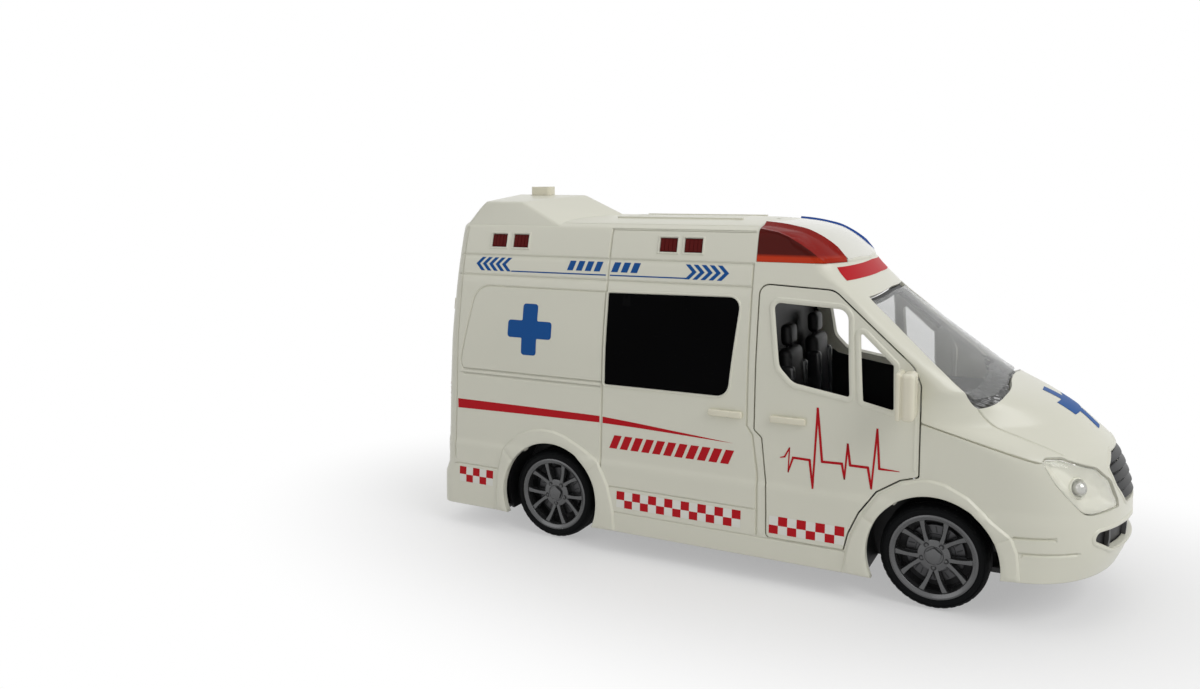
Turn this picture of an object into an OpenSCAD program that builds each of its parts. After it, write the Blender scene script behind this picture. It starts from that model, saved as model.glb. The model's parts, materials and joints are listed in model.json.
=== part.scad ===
/* [Body] */
// Distance from the rear axle to the tail
rear_overhang = 55; // [50:0.5:62]
// Half width of the body at the sill
half_w = 45; // [44:0.25:47]
// Wall thickness of the body shell
wall = 2; // [1.8:0.1:2.3]
// Height of the sill's lower edge above the ground
sill_z = 9; // [8:0.25:9.5]
// Height of the front bumper's lower edge
bumper_z = 16; // [14:0.5:18]
// Gap around panes, lenses and covers
pane_gap = 0.15; // [0.1:0.01:0.2]
// Thickness of panes and lenses
pane_t = 1.2; // [1:0.1:1.4]

/* [Wheels] */
// Position of the front axle
front_axle_x = 73; // [72:0.25:74]
// Distance between the axles
wheel_base = 151; // [149:0.5:153]
// Outer radius of a tyre, which is also the axle height
tyre_r = 18.3; // [17.5:0.1:18.6]
// Width of a tyre
tyre_w = 14; // [13:0.25:14.5]
// Radius of the rim where the tyre sits
rim_r = 13.4; // [13:0.1:14]
// Outer face of a wheel, from the middle plane
wheel_face_y = 41.5; // [41:0.1:42]
// Radius of the wheel arch in the body side
arch_r = 22; // [21.5:0.1:22.5]
// Width of the raised lip round a wheel arch
flare_w = 5.2; // [4:0.2:6]
// Radius of the axle shafts
axle_r = 1.5; // [1.3:0.05:1.7]
// Radial clearance of a turning shaft
run_gap = 0.05; // [0.03:0.01:0.08]
// Number of spokes of a rim
spokes = 10; // [8:2:12]

/* [Steering] */
// Distance of a kingpin from the middle plane
kingpin_y = 27; // [26.5:0.1:27.5]
// Radius of a kingpin
kingpin_r = 1.2; // [1:0.05:1.4]
// Length of the steering arms
steer_arm = 9; // [8.5:0.1:9.5]
// Radius of the linkage pins
link_pin_r = 0.8; // [0.7:0.05:0.9]

/* [Drive] */
// Tooth size of the gears
gear_module = 0.55; // [0.52:0.01:0.56]
// Teeth of the gear on the rear axle
axle_teeth = 24; // [22:1:24]
// Teeth of the large wheel of the middle gear
middle_teeth = 22; // [20:1:22]
// Teeth of the motor pinion and of the small wheel of the middle gear
pinion_teeth = 10; // [10:1:11]
// Radius of the motor can
motor_r = 9.6; // [9:0.1:9.8]
// Length of the motor can
motor_len = 22; // [20:0.5:23]

/* [Doors] */
// Gap around a cab door
door_gap = 0.5; // [0.4:0.05:0.6]
// Radius of the door hinge pins
hinge_pin_r = 0.7; // [0.6:0.05:0.75]
// Position of the door hinge line
hinge_x = 66.6; // [66.4:0.1:66.8]

/* [Battery] */
// Diameter of a battery cell
cell_d = 14.2; // [13.5:0.1:14.4]
// Length of a battery cell
cell_len = 50; // [48:0.5:50.5]
// Number of battery cells
cells = 4; // [3:1:4]

/* [Button] */
// Length of the roof button
button_len = 10; // [9:0.5:11]
// Width of the roof button
button_w = 6; // [5:0.5:7]
// Height of the roof button above the fairing
button_out = 3.5; // [3:0.1:3.5]
// Travel of the roof button
button_travel = 1.5; // [1:0.1:1.5]

/* [Hidden] */
$fn = 48;

cream = [0.86, 0.85, 0.78];
warm_cream = [0.88, 0.86, 0.72];
black = [0.06, 0.06, 0.07];
gunmetal = [0.3, 0.31, 0.34];
steel = [0.7, 0.71, 0.73];
clear = [0.75, 0.8, 0.82, 0.5];
red_lens = [0.65, 0.06, 0.04];
blue_lens = [0.1, 0.2, 0.6];

rear_axle_x = front_axle_x - wheel_base;
tail_len = rear_overhang - rear_axle_x;
axle_z = tyre_r;
press_gap = 0.02;
floor_t = 1.8;
floor_top = sill_z + floor_t;
slack = 0.3;

// The body as level slices, from the sill to the roof. Each row holds the height, how far the
// side leans in, where the front curve starts, where it ends at the middle, the two powers
// of the front curve, and how far the tail steps in.
slices = [
    [sill_z, -0.2, 92, 125, 2.5, 1.75, 0],
    [16, -0.1, 92, 129, 2.5, 1.75, 0],
    [23, 0.2, 92, 132, 2.6, 1.8, 0],
    [25, 0.4, 92, 132.6, 2.7, 1.8, 1.5],
    [30, 0.6, 92, 133, 2.8, 1.8, 1.5],
    [36, 0.8, 92, 133, 2.8, 1.8, 1.5],
    [36.8, 1.3, 92, 133, 2.8, 1.8, 1.5],
    [40, 1.5, 92, 132.8, 2.8, 1.8, 1.5],
    [45, 1.8, 92, 131.6, 2.8, 1.8, 1.5],
    [51, 2.2, 92, 129.2, 2.7, 1.8, 1.5],
    [55.5, 2.5, 91, 126.5, 2.5, 1.8, 1.5],
    [58.5, 2.7, 86, 123.4, 2.1, 1.9, 1.5],
    [61.5, 2.9, 78, 120.3, 1.75, 2, 1.5],
    [65, 3.1, 68, 116.5, 1.55, 2.05, 1.6],
    [68.5, 3.35, 66, 111, 1.6, 2.1, 1.6],
    [71.5, 3.55, 67, 104.8, 1.7, 2.15, 1.7],
    [74, 3.7, 70, 98, 1.85, 2.15, 1.7],
    [75.8, 3.85, 72.5, 93.4, 2, 2.1, 1.7],
    [80, 4.2, 70, 86.6, 2, 2.1, 1.8],
    [88, 5.3, 61, 75, 2, 2.1, 1.9],
    [97, 6.8, 51, 62, 2, 2.1, 2.1],
    [105.3, 8.3, 43, 50.6, 2, 2.1, 2.2],
    [110, 9.3, 36.5, 47, 2, 2.1, 2.3],
    [114, 10.2, 30.5, 43.9, 2, 2.1, 2.4],
    [117.2, 11, 28, 41.5, 2, 2.1, 2.5],
    [118.6, 11.3, 30, 40.4, 2, 2.1, 2.5],
    [121.4, 12.1, 26.3, 37.7, 2, 2.1, 2.6],
    [124, 12.8, 22, 35, 2, 2.1, 2.6],
    [126.5, 13.6, 17, 31.5, 2, 2.1, 2.7],
    [128.3, 14.3, 12, 28.2, 2, 2.1, 2.8],
    [129.4, 15.4, 6, 25, 2, 2.1, 3.2],
    [130.4, 18, 2, 21, 2, 2.1, 4],
    [131.3, 22.5, -4, 15, 2, 2.1, 5],
    [132.1, 29.5, -12, 8, 2, 2.1, 6.5],
    [132.6, 37, -20, 0, 2, 2.1, 9]
];
side_lean = [for (s = slices) [s[0], s[1]]];
roof_z = 118;
roof_blend = 8;
tail_corner_r = 6;
corner_steps = 3;
front_steps = 9;

function lean_at(z) = lookup(z, side_lean);
function side_y(z) = half_w - lean_at(z);

// Slope of a column between the neighbours of row i
function slope(i, c) = let (a = max(0, i - 1), b = min(len(slices) - 1, i + 1))
    (slices[b][c] - slices[a][c]) / (slices[b][0] - slices[a][0]);
// Inset along the level that leaves a wall of the thickness t on a leaning surface
function level_inset(t, k) = t * min(6, sqrt(1 + k * k));
// Rows near the roof sink by the inset, so that the roof has a wall as well
function row_z(i, t) = let (z = slices[i][0])
    z - (i == 0 && t > 0 ? 1 : t * max(0, min(1, (z - roof_z) / roof_blend)));

// One level slice, moved in by t, as a closed ring of points
function slice_ring(i, t) = let (
        s = slices[i],
        w = max(1.5, half_w - s[1] - level_inset(t, min(2, slope(i, 1)))),
        start = s[2],
        reach = max(1.5, s[3] - s[2] - level_inset(t, slope(i, 3))),
        back = s[6] - tail_len + t,
        r = tail_corner_r,
        z = row_z(i, t),
        tail = [for (k = [0:corner_steps]) let (a = 90 * k / corner_steps)
            [back + r - r * cos(a), -(max(1, w - r) + min(r, w - 1) * sin(a)), z]],
        front = [for (k = [0:front_steps]) let (a = 90 * k / front_steps)
            [start + reach * pow(sin(a), 2 / s[4]), -w * pow(max(0, cos(a)), 2 / s[5]), z]],
        half = concat(tail, front)
    ) concat(half, [for (k = [len(half) - 2:-1:0]) [half[k][0], -half[k][1], z]]);

// The body's outer form moved in by t (moved out where t is negative)
module body_form(t) {
    rings = [for (i = [0:len(slices) - 1]) slice_ring(i, t)];
    n = len(rings[0]);
    last = len(rings) - 1;
    polyhedron(
        points = [for (ring = rings) each ring],
        faces = concat(
            [[for (k = [0:n - 1]) k]],
            [for (i = [0:last - 1]) for (k = [0:n - 1]) let (m = (k + 1) % n)
                let (a = i * n + k, b = i * n + m, c = a + n, d = b + n)
                each [[a, d, b], [a, c, d]]],
            [[for (k = [n - 1:-1:0]) last * n + k]]
        )
    );
}

// A layer of the body's skin, from the inset a to the inset b
module skin(a, b) {
    difference() {
        body_form(a);
        translate([0, 0, -0.01]) body_form(b);
    }
}

// The raised fairing at the rear of the roof. Each row holds the distance from its rear edge,
// the distance from the middle plane, the height, and which way the point moves with an inset.
fairing_back = 2.7 - tail_len;
fairing_h = 8.9;
fairing_z = slices[len(slices) - 1][0] + fairing_h;
fairing_edge_z = fairing_z - 2.5;
fairing_y = half_w - 14.8;
fairing_base_z = 124;
fairing_rows = [
    [0.2, fairing_y - 4.7, fairing_base_z, 1], [0.2, fairing_y - 4.7, 128.5, 1],
    [4, fairing_y, fairing_base_z, 1], [4, fairing_y, 128.7, 1],
    [11.5, fairing_y - 2.7, fairing_edge_z, 1], [11.5, 0, fairing_z, 1],
    [30.4, fairing_y - 2.7, fairing_edge_z, -1], [46.3, 0, fairing_z - 0.3, -1],
    [50.8, fairing_y, 129.2, -1], [50.8, fairing_y, fairing_base_z, -1],
    [67.3, 0, 131.8, -1], [67.3, 0, fairing_base_z, -1]
];
// The fairing moved in by t
module fairing_form(t) {
    half = [for (p = fairing_rows)
        [fairing_back + p[0] + p[3] * t, max(0, p[1] - t), p[2] - (p[2] > fairing_base_z ? t : 0)]];
    all = concat(half, [for (p = half) [p[0], -p[1], p[2]]]);
    hull() polyhedron(points = all, faces = [for (k = [0:len(all) - 3]) [k, k + 1, k + 2]]);
}

// Helpers for outlines
function unit(v) = v / norm(v);
function turn(v, a) = [v[0] * cos(a) - v[1] * sin(a), v[0] * sin(a) + v[1] * cos(a)];
// The corner b between a and c, rounded to the radius r
function round_corner(a, b, c, r, n = 4) = r == 0 ? [b] : let (
        u = unit(a - b),
        v = unit(c - b),
        half = acos(max(-1, min(1, u * v))) / 2,
        mid = b + unit(u + v) * r / sin(half),
        start = b + u * r / tan(half) - mid,
        sweep = (180 - 2 * half) * (cross(u, v) > 0 ? -1 : 1)
    ) [for (k = [0:n]) mid + turn(start, sweep * k / n)];
// An outline of rows [x, y, radius] with its corners rounded
function outline(rows) = let (n = len(rows), p = [for (q = rows) [q[0], q[1]]])
    [for (k = [0:n - 1]) each round_corner(p[(k + n - 1) % n], p[k], p[(k + 1) % n], rows[k][2])];
// An outline listed clockwise, moved out by d
function grown(p, d) = let (n = len(p)) [for (k = [0:n - 1]) let (
        u = unit(p[k] - p[(k + n - 1) % n]),
        v = unit(p[(k + 1) % n] - p[k]),
        side = unit([-u[1] - v[1], u[0] + v[0]]),
        bend = max(0.5, side * [-u[1], u[0]])
    ) p[k] + side * d / bend];

// A side-view outline as a prism between two distances from the middle plane
module side_prism(points, y_low, y_high) {
    translate([0, y_high, 0]) rotate([90, 0, 0]) linear_extrude(y_high - y_low) polygon(points);
}
// A front-view outline as a prism between two lengths
module front_prism(points, x_low, x_high) {
    translate([x_low, 0, 0]) rotate([90, 0, 90]) linear_extrude(x_high - x_low) polygon(points);
}
module box(low, high) {
    translate(low) cube(high - low);
}
module on_side(side) {
    if (side > 0) children();
    else mirror([0, 1, 0]) children();
}
module both_sides() {
    children();
    mirror([0, 1, 0]) children();
}
// A cylinder along the width, from one distance to another
module cross_rod(x, z, r, y_low, y_high) {
    translate([x, y_high, z]) rotate([90, 0, 0]) cylinder(h = y_high - y_low, r = r);
}

// Outlines in the side view, listed clockwise as seen from the right with the nose at the right
door_outline = outline([
    [9.5, 109.2, 3.5], [37, 108, 7], [65.5, 83.5, 6], [68, 77.5, 3], [68, 46.4, 0.6],
    [front_axle_x - 11, 44.6, 0], [front_axle_x - 19, 39.5, 0], [front_axle_x - 25, 31.2, 0],
    [front_axle_x - 28.5, 23.5, 0], [front_axle_x - 30, 17.3, 0.6], [15, 17.3, 1.5], [14.6, 36, 10],
    [12.5, 53.5, 2], [9.5, 56, 1.5]
]);
door_window = outline([
    [15.2, 102.9, 2], [42.4, 101.6, 4], [44, 71.3, 0.8], [23.5, 74.6, 6], [18.3, 80, 5]
]);
quarter_window = outline([[47.2, 94.2, 0.5], [58.9, 83.5, 0.8], [59.3, 68.2, 0.6], [48.8, 70.4, 0.6]]);
side_window = outline([[-53.6, 103.2, 0.6], [2.2, 104, 4], [-1.6, 66.9, 5], [-53.6, 66.9, 0.6]]);
headlight = outline([
    [105.4, 56.9, 1.2], [111.6, 56.7, 5], [121.8, 52.4, 4], [126.2, 47.6, 6], [129.3, 38.6, 1],
    [119.3, 37.9, 6], [110.2, 48.8, 10]
]);
// Outlines in the front view
windshield_half = [
    [0, 105.4], [half_w - 12, 104.4], [half_w - 8.4, 76.5], [half_w - 10.5, 73.8], [20, 75.2], [0, 76.4]
];
windshield_outline = concat(windshield_half,
    [for (k = [4:-1:1]) [-windshield_half[k][0], windshield_half[k][1]]]);
// Half widths of the grille from its top to its foot, and of the intake likewise
grille_y = [half_w - 33, half_w - 25, half_w - 25.4, half_w - 30];
intake_y = [half_w - 13.4, half_w - 12, half_w - 20.5];
grille_outline = outline([
    [-grille_y[0], 54.6, 3], [grille_y[0], 54.6, 3], [grille_y[1], 51, 1.2], [grille_y[2], 45.6, 3],
    [grille_y[3], 38.8, 2.5], [-grille_y[3], 38.8, 2.5], [-grille_y[2], 45.6, 3], [-grille_y[1], 51, 1.2]
]);
intake_outline = outline([
    [-intake_y[0], 32.2, 1.6], [intake_y[0], 32.2, 1.6], [intake_y[1], 29.6, 1.4],
    [intake_y[2], 25.2, 4], [-intake_y[2], 25.2, 4], [-intake_y[1], 29.6, 1.4]
]);
rear_pane = outline([[4, 102, 3], [half_w - 16, 101, 4], [half_w - 13, 70, 4], [4, 70, 3]]);
tail_lamp = outline([
    [half_w - 11.5, 62, 1.5], [half_w - 5.5, 62, 1.5], [half_w - 4.8, 41, 1.5], [half_w - 11.5, 41, 1.5]
]);

// Distance of the headlights from the middle plane
headlight_in_y = half_w - 24.2;
lens_rear_x = 7;
lens_low_z = 117.3;
lens_reach = 22.5;
lens_inner_y = half_w - lens_reach;
lens_top_z = 140;
lens_front_x = 50;
led_shelf_z = 115.6;
led_shelf_t = 1.6;
led_shelf_front_x = 32;
marker_x = [21 - tail_len, 31.8 - tail_len, -33, -22.5];
marker_depth = 22;
marker_size = [7.5, 5.5];
marker_z = 119.9;
handle_x = [-8.6, 15.5];
handle_len = 13.3;
handle_z = [59.6, 62.1];
handle_out = 1.5;
skin_air = 0.02;

// Body screws stand in bosses at these places
boss_x = [15 - tail_len, -8];
boss_r = 3.4;
boss_y = half_w - wall - boss_r;
boss_top_z = 30;
screw_r = 0.9;
screw_head_r = 1.9;
screw_len = 9;
screw_head_t = 1.2;

// The door hinge leans with the body side
hinge_low_z = 42;
hinge_high_z = 88;
hinge_mid_z = 47;
hinge_lean_z = 79;
hinge_tilt = atan((lean_at(hinge_lean_z) - lean_at(hinge_mid_z)) / (hinge_lean_z - hinge_mid_z));
hinge_mid = [hinge_x, side_y(hinge_mid_z) - wall / 2, hinge_mid_z];
barrel_wall = 0.45;
barrel_z = [48, 77.5];
lug_x = [hinge_x - 1.3, hinge_x + 3];
lug_t = 3.3;
lug_depth = wall + 1.6;
barrel_r = hinge_pin_r + run_gap + barrel_wall;
// A rod along the right door's hinge line between two heights
module hinge_rod(r, z_low, z_high) {
    translate([hinge_mid[0], -hinge_mid[1], hinge_mid[2]]) rotate([-hinge_tilt, 0, 0])
        translate([0, 0, z_low - hinge_mid[2]]) cylinder(h = z_high - z_low, r = r);
}

// The roof button is held by a collar under the roof and rests above its switch
button_mid_x = 27 - tail_len;
button_top_z = fairing_z + button_out;
collar_w = 1;
collar_t = 2;
collar_top_z = fairing_z - wall - 0.9;
button_low_z = collar_top_z - collar_t;
switch_size = [6, 6, 2];
switch_tip_t = 0.6;
switch_tip_r = 1.6;
switch_board_t = 1.2;
switch_board_w = 10;
switch_board_z = button_low_z - button_travel - 0.1 - switch_tip_t - switch_size[2] - switch_board_t;
switch_post_reach = 11;
switch_post_r = 1.5;

module lens_block(grow) {
    box([lens_rear_x - grow, -half_w, lens_low_z - grow], [lens_front_x, -lens_inner_y + grow, lens_top_z]);
}
module marker_blocks(grow) {
    for (x = marker_x)
        box([x - grow, -half_w - 1, marker_z - grow],
            [x + marker_size[0] + grow, -half_w + marker_depth, marker_z + marker_size[1] + grow]);
}
flare_out = 0.4;
flare_lean_z = 36;
module arch_flare(axle_x) {
    lean = atan((lean_at(flare_lean_z) - lean_at(sill_z)) / (flare_lean_z - sill_z));
    reach = arch_r + flare_w;
    intersection() {
        translate([axle_x, -half_w + 0.5, axle_z]) rotate([90 - lean, 0, 0]) difference() {
            translate([0, 0, -1]) cylinder(h = 1.5 + flare_out, r = reach);
            translate([0, 0, -2]) cylinder(h = 4, r = arch_r - 1);
        }
        box([axle_x - reach, -half_w - 5, sill_z], [axle_x + reach, 0, axle_z + reach]);
    }
}

module body_shell() {
    color(cream) difference() {
        union() {
            difference() {
                union() {
                    body_form(0);
                    fairing_form(0);
                }
                body_form(wall);
                fairing_form(wall);
            }
            both_sides() {
                arch_flare(front_axle_x);
                arch_flare(rear_axle_x);
                for (x = boss_x) translate([x, -boss_y, floor_top])
                    cylinder(h = boss_top_z - floor_top, r = boss_r);
                // Shelf under the light bar lens
                intersection() {
                    body_form(wall / 2);
                    box([lens_rear_x - 1, -half_w, led_shelf_z - led_shelf_t],
                        [led_shelf_front_x, -lens_inner_y + 3, led_shelf_z]);
                }
                // Lugs that hold the door hinge pin
                intersection() {
                    body_form(wall / 2);
                    union() {
                        box([lug_x[0], -half_w, hinge_high_z + 1 - lug_t],
                            [lug_x[1], -side_y(hinge_high_z) + lug_depth, hinge_high_z + 1]);
                        box([lug_x[0], -half_w, hinge_low_z - 1],
                            [lug_x[1], -side_y(hinge_low_z) + lug_depth, hinge_low_z - 1 + lug_t]);
                    }
                }
            }
            // Posts that carry the board of the button's switch
            for (side = [-1, 1])
                translate([button_mid_x + side * switch_post_reach, 0, switch_board_z + switch_board_t])
                    cylinder(h = fairing_z - wall / 2 - switch_board_z - switch_board_t, r = switch_post_r);
        }
        both_sides() {
            side_prism(grown(door_outline, door_gap), -half_w - 3, -25);
            side_prism(side_window, -half_w - 3, -25);
            side_prism(headlight, -half_w - 3, -headlight_in_y);
            lens_block(0);
            marker_blocks(0);
            for (x = [front_axle_x, rear_axle_x]) cross_rod(x, axle_z, arch_r, -half_w - 3, -well_in_y);
            for (x = boss_x) translate([x, -boss_y, 0])
                cylinder(h = boss_top_z - 2, r = screw_r + press_gap);
            hinge_rod(hinge_pin_r + press_gap, hinge_low_z, hinge_high_z);
            front_prism(rear_pane, -tail_len - 5, -tail_len + 20);
            front_prism(tail_lamp, -tail_len - 5, -tail_len + 8);
        }
        front_prism(windshield_outline, 43, 110);
        front_prism(grille_outline, 110, 140);
        front_prism(intake_outline, 112, 140);
        box([front_axle_x + 10, -60, 0], [150, 60, bumper_z]);
        translate([button_mid_x, 0, fairing_z])
            cube([button_len + 2 * slack, button_w + 2 * slack, 4 * wall], center = true);
    }
}

// Chassis
front_well_r = tyre_r + 6;
rear_well_r = tyre_r + 4.3;
well_t = 1;
well_hole_r = tyre_r - 4;
well_in_y = 21;
rear_well_in_y = motor_len + 2;
well_out_y = half_w - wall - 3.5;
floor_y = half_w - wall - 1.4;
floor_front_x = front_axle_x + 24;
bay_x = [-47, 9];
bay_t = 1.2;
cell_gap = 0.3;
bay_y = cells * (cell_d + cell_gap) / 2 + bay_t + cell_gap;
bay_top = floor_top + cell_d + 2 * cell_gap + bay_t;
cover_screw_x = 11.2;
cover_t = 1.6;
cover_x = [bay_x[0] + bay_t, 14.5];
cover_gap = 0.2;
cover_boss_r = 3;
cover_boss_h = 9;
switch_x = 28;
switch_y = 22;
switch_travel = 3;
slider_size = [4, 3.4];
slider_room = [(switch_travel + slider_size[0]) / 2 + 2 * slack, slider_size[1] / 2 + slack];
tub_z = 45;
tub_posts = [[14, 34], [40, 15]];
tub_post_r = 2.5;
nose_plate_z = bumper_z + 0.6;
nose_y = 20;
nose_half = [[floor_front_x - 1, nose_y], [108, 30], [117, 22], [122, 10]];
beam_w = 8;
axle_post_y = 19.5;
axle_post_w = 7;
board_post_t = 1.6;
board_post_r = 2;
board_post_y = 22;
speaker_x = 18 - tail_len;
speaker_r = 12.5;
speaker_hole_r = 1.2;
speaker_hole_ring = 7;
gear_pit_t = 0.6;

// The foot in front of the wheel starts at foot_z
module wheel_well(x, r, y_in, foot_z) {
    intersection() {
        difference() {
            cross_rod(x, axle_z, r + well_t, -well_out_y, -y_in);
            cross_rod(x, axle_z, r, -well_out_y - 1, -y_in - well_t);
            cross_rod(x, axle_z, well_hole_r, -well_out_y, 0);
        }
        union() {
            box([x - 2 * r, -half_w, sill_z], [x, 0, axle_z + 2 * r]);
            box([x - 1, -half_w, foot_z], [x + 2 * r, 0, axle_z + 2 * r]);
        }
    }
}
module chassis_base() {
    color(black) difference() {
        union() {
            difference() {
                box([4 - tail_len, -floor_y, sill_z], [floor_front_x, floor_y, floor_top]);
                both_sides() {
                    box([front_axle_x - front_well_r, -half_w, 0],
                        [floor_front_x + 1, -well_in_y, axle_z]);
                    box([rear_axle_x - rear_well_r, -half_w, 0],
                        [rear_axle_x + rear_well_r, -rear_well_in_y, axle_z]);
                }
            }
            both_sides() {
                wheel_well(front_axle_x, front_well_r, well_in_y, bumper_z + 1);
                wheel_well(rear_axle_x, rear_well_r, rear_well_in_y, sill_z);
                // Beam out to the kingpin
                box([front_axle_x - beam_w / 2, -kingpin_y - barrel_out_r, sill_z],
                    [front_axle_x + beam_w / 2, -well_in_y + 1, floor_top + 1]);
                // Bearing post of the rear axle
                box([rear_axle_x - axle_post_w / 2, -axle_post_y - 1.5, sill_z],
                    [rear_axle_x + axle_post_w / 2, -axle_post_y + 1, axle_z + 4]);
                for (p = tub_posts) translate([p[0], -p[1], sill_z])
                    cylinder(h = tub_z - sill_z, r = tub_post_r);
            }
            // Raised plate under the nose
            box([floor_front_x - 1.5, -nose_y, sill_z],
                [floor_front_x + 0.5, nose_y, nose_plate_z + floor_t]);
            translate([0, 0, nose_plate_z]) linear_extrude(floor_t)
                polygon(concat([for (p = nose_half) [p[0], -p[1]]], [for (k = [3:-1:0]) nose_half[k]]));
            box([bay_x[0], -bay_y, sill_z], [bay_x[1], bay_y, bay_top]);
            translate([cover_screw_x, 0, floor_top]) cylinder(h = cover_boss_h, r = cover_boss_r);
            for (x = [bay_x[0] + 6, bay_x[1] - 6]) for (y = [-board_post_y, board_post_y])
                translate([x, y, bay_top - 0.5]) cylinder(h = board_post_t + 0.5, r = board_post_r);
        }
        box([cover_x[0], -bay_y + bay_t, 0], [bay_x[1] - bay_t, bay_y - bay_t, bay_top - bay_t]);
        box([cover_x[0], -bay_y + bay_t, 0], [cover_x[1] + cover_gap, bay_y - bay_t, floor_top]);
        translate([cover_screw_x, 0, 0]) cylinder(h = sill_z + screw_len, r = screw_r + press_gap);
        both_sides() {
            translate([front_axle_x, -kingpin_y, 0]) cylinder(h = axle_z, r = kingpin_r + press_gap);
            cross_rod(rear_axle_x, axle_z, axle_r + run_gap, -axle_post_y - 5, -axle_post_y + 5);
            for (x = boss_x) translate([x, -boss_y, 0]) screw_hole();
        }
        // Slot of the power switch
        translate([switch_x, switch_y, 0])
            box([-slider_room[0], -slider_room[1], 0], [slider_room[0], slider_room[1], axle_z]);
        for (a = [0:60:300])
            translate([speaker_x + speaker_hole_ring * cos(a), speaker_hole_ring * sin(a), 0])
                cylinder(h = axle_z, r = speaker_hole_r);
        // Room for the large gear
        box([rear_axle_x - gear_r(axle_teeth + 2), case_y[0] + case_t, sill_z + gear_pit_t],
            [rear_axle_x + gear_r(axle_teeth + 2), gear_y[1] + slack, axle_z]);
    }
}

// Pieces let into the shell
module grille_layer(points, x_low, a, b) {
    intersection() {
        skin(a, b);
        front_prism(grown(points, -pane_gap), x_low, 140);
    }
}
slat_pitch = 3.6;
slat_t = 1.5;
module front_grille() {
    color([0.2, 0.2, 0.21]) union() {
        grille_layer(grille_outline, 112, 1.2, 2.4);
        intersection() {
            grille_layer(grille_outline, 112, 0.2, 1.6);
            for (k = [0:4]) box([100, -25, 38.4 + k * slat_pitch], [140, 25, 38.4 + k * slat_pitch + slat_t]);
        }
    }
}
module lower_intake() {
    color([0.25, 0.25, 0.26]) union() {
        grille_layer(intake_outline, 114, 1.2, 2.4);
        intersection() {
            grille_layer(intake_outline, 114, 0.3, 1.6);
            for (y = [-14, 14]) box([100, y - 0.6, 20], [140, y + 0.6, 34]);
        }
    }
}
module headlight_lenses() {
    color(clear) both_sides() intersection() {
        skin(0.1, pane_t);
        side_prism(grown(headlight, -pane_gap), -half_w - 3, -headlight_in_y - pane_gap);
    }
}
module headlight_reflectors() {
    color([0.8, 0.8, 0.78]) both_sides() intersection() {
        skin(wall + 0.4, wall + 1.6);
        side_prism(grown(headlight, 0.8), -half_w - 3, -headlight_in_y - pane_gap);
    }
}
module windshield() {
    color(clear) intersection() {
        skin(0.1, pane_t);
        front_prism(grown(windshield_outline, -pane_gap), 43, 110);
    }
}
module side_windows() {
    color(black) both_sides() intersection() {
        skin(0.25, 0.25 + pane_t);
        side_prism(grown(side_window, -pane_gap), -half_w - 3, -25);
    }
}
module rear_windows() {
    color(black) both_sides() intersection() {
        skin(0.25, 0.25 + pane_t);
        front_prism(grown(rear_pane, -pane_gap), -tail_len - 5, -tail_len + 20);
    }
}
module tail_lights() {
    color(red_lens) both_sides() intersection() {
        skin(0, pane_t);
        front_prism(grown(tail_lamp, -pane_gap), -tail_len - 5, -tail_len + 8);
    }
}
module lightbar_lens() {
    intersection() {
        skin(0.05, pane_t);
        lens_block(-pane_gap);
    }
}
module lightbar_lens_red() {
    color(red_lens) lightbar_lens();
}
module lightbar_lens_blue() {
    color(blue_lens) mirror([0, 1, 0]) lightbar_lens();
}
module marker_lenses() {
    color(red_lens) both_sides() intersection() {
        skin(0.1, pane_t);
        marker_blocks(-pane_gap);
    }
}
module handle_block(k) {
    intersection() {
        skin(-handle_out, -skin_air);
        box([handle_x[k], -half_w - 5, handle_z[0]], [handle_x[k] + handle_len, -20, handle_z[1]]);
    }
}
module sliding_door_handles() {
    color(warm_cream) both_sides() handle_block(0);
}
module door_handle(side) {
    color(warm_cream) on_side(-side) handle_block(1);
}

// Cab doors, drawn for the right side
door_t = 2.2;
module cab_door(side) {
    color(cream) on_side(-side) difference() {
        union() {
            intersection() {
                skin(0, door_t);
                side_prism(door_outline, -half_w - 3, -25);
                union() {
                    box([0, -2 * half_w, 0], [hinge_x, 0, lens_low_z]);
                    box([0, -2 * half_w, barrel_z[1] + 2], [hinge_x + 10, 0, lens_low_z]);
                }
            }
            hinge_rod(barrel_r, barrel_z[0], barrel_z[1]);
        }
        side_prism(door_window, -half_w - 3, -25);
        side_prism(quarter_window, -half_w - 3, -25);
        hinge_rod(hinge_pin_r + run_gap, hinge_low_z - 2, hinge_high_z + 2);
        hinge_rod(barrel_r + slack, barrel_z[1], hinge_high_z + 2);
    }
}
module door_hinge_pins() {
    color(steel) both_sides() hinge_rod(hinge_pin_r, hinge_low_z, hinge_high_z);
}
mirror_x = [59.8, 66];
mirror_z = [65.8, 82];
mirror_out_y = half_w + 8;
mirror_deep = 9;
mirror_arm_z = [67.3, 73.3];
mirror_arm_x = [60.4, 64];
mirror_w = mirror_x[1] - mirror_x[0];
mirror_plan = outline([
    [0, 0, 1], [0, mirror_deep, 0.6], [2, mirror_deep, 0.6], [mirror_w, 7.5, 2], [mirror_w, 1, 2], [2.4, 0, 1]
]);
glass_rim = 1.2;
glass_depth = 0.6;
module door_mirror(side) {
    color(warm_cream) on_side(-side) difference() {
        union() {
            translate([mirror_x[0], -mirror_out_y, mirror_z[0]]) linear_extrude(mirror_z[1] - mirror_z[0])
                polygon(mirror_plan);
            box([mirror_arm_x[0], -mirror_out_y + mirror_deep / 2, mirror_arm_z[0]],
                [mirror_arm_x[1], -half_w / 2, mirror_arm_z[1]]);
        }
        body_form(-skin_air);
        box([mirror_x[0] - 1, -mirror_out_y + glass_rim, mirror_z[0] + glass_rim],
            [mirror_x[0] + glass_depth, -mirror_out_y + mirror_deep - glass_rim, mirror_z[1] - glass_rim]);
    }
}

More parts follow.
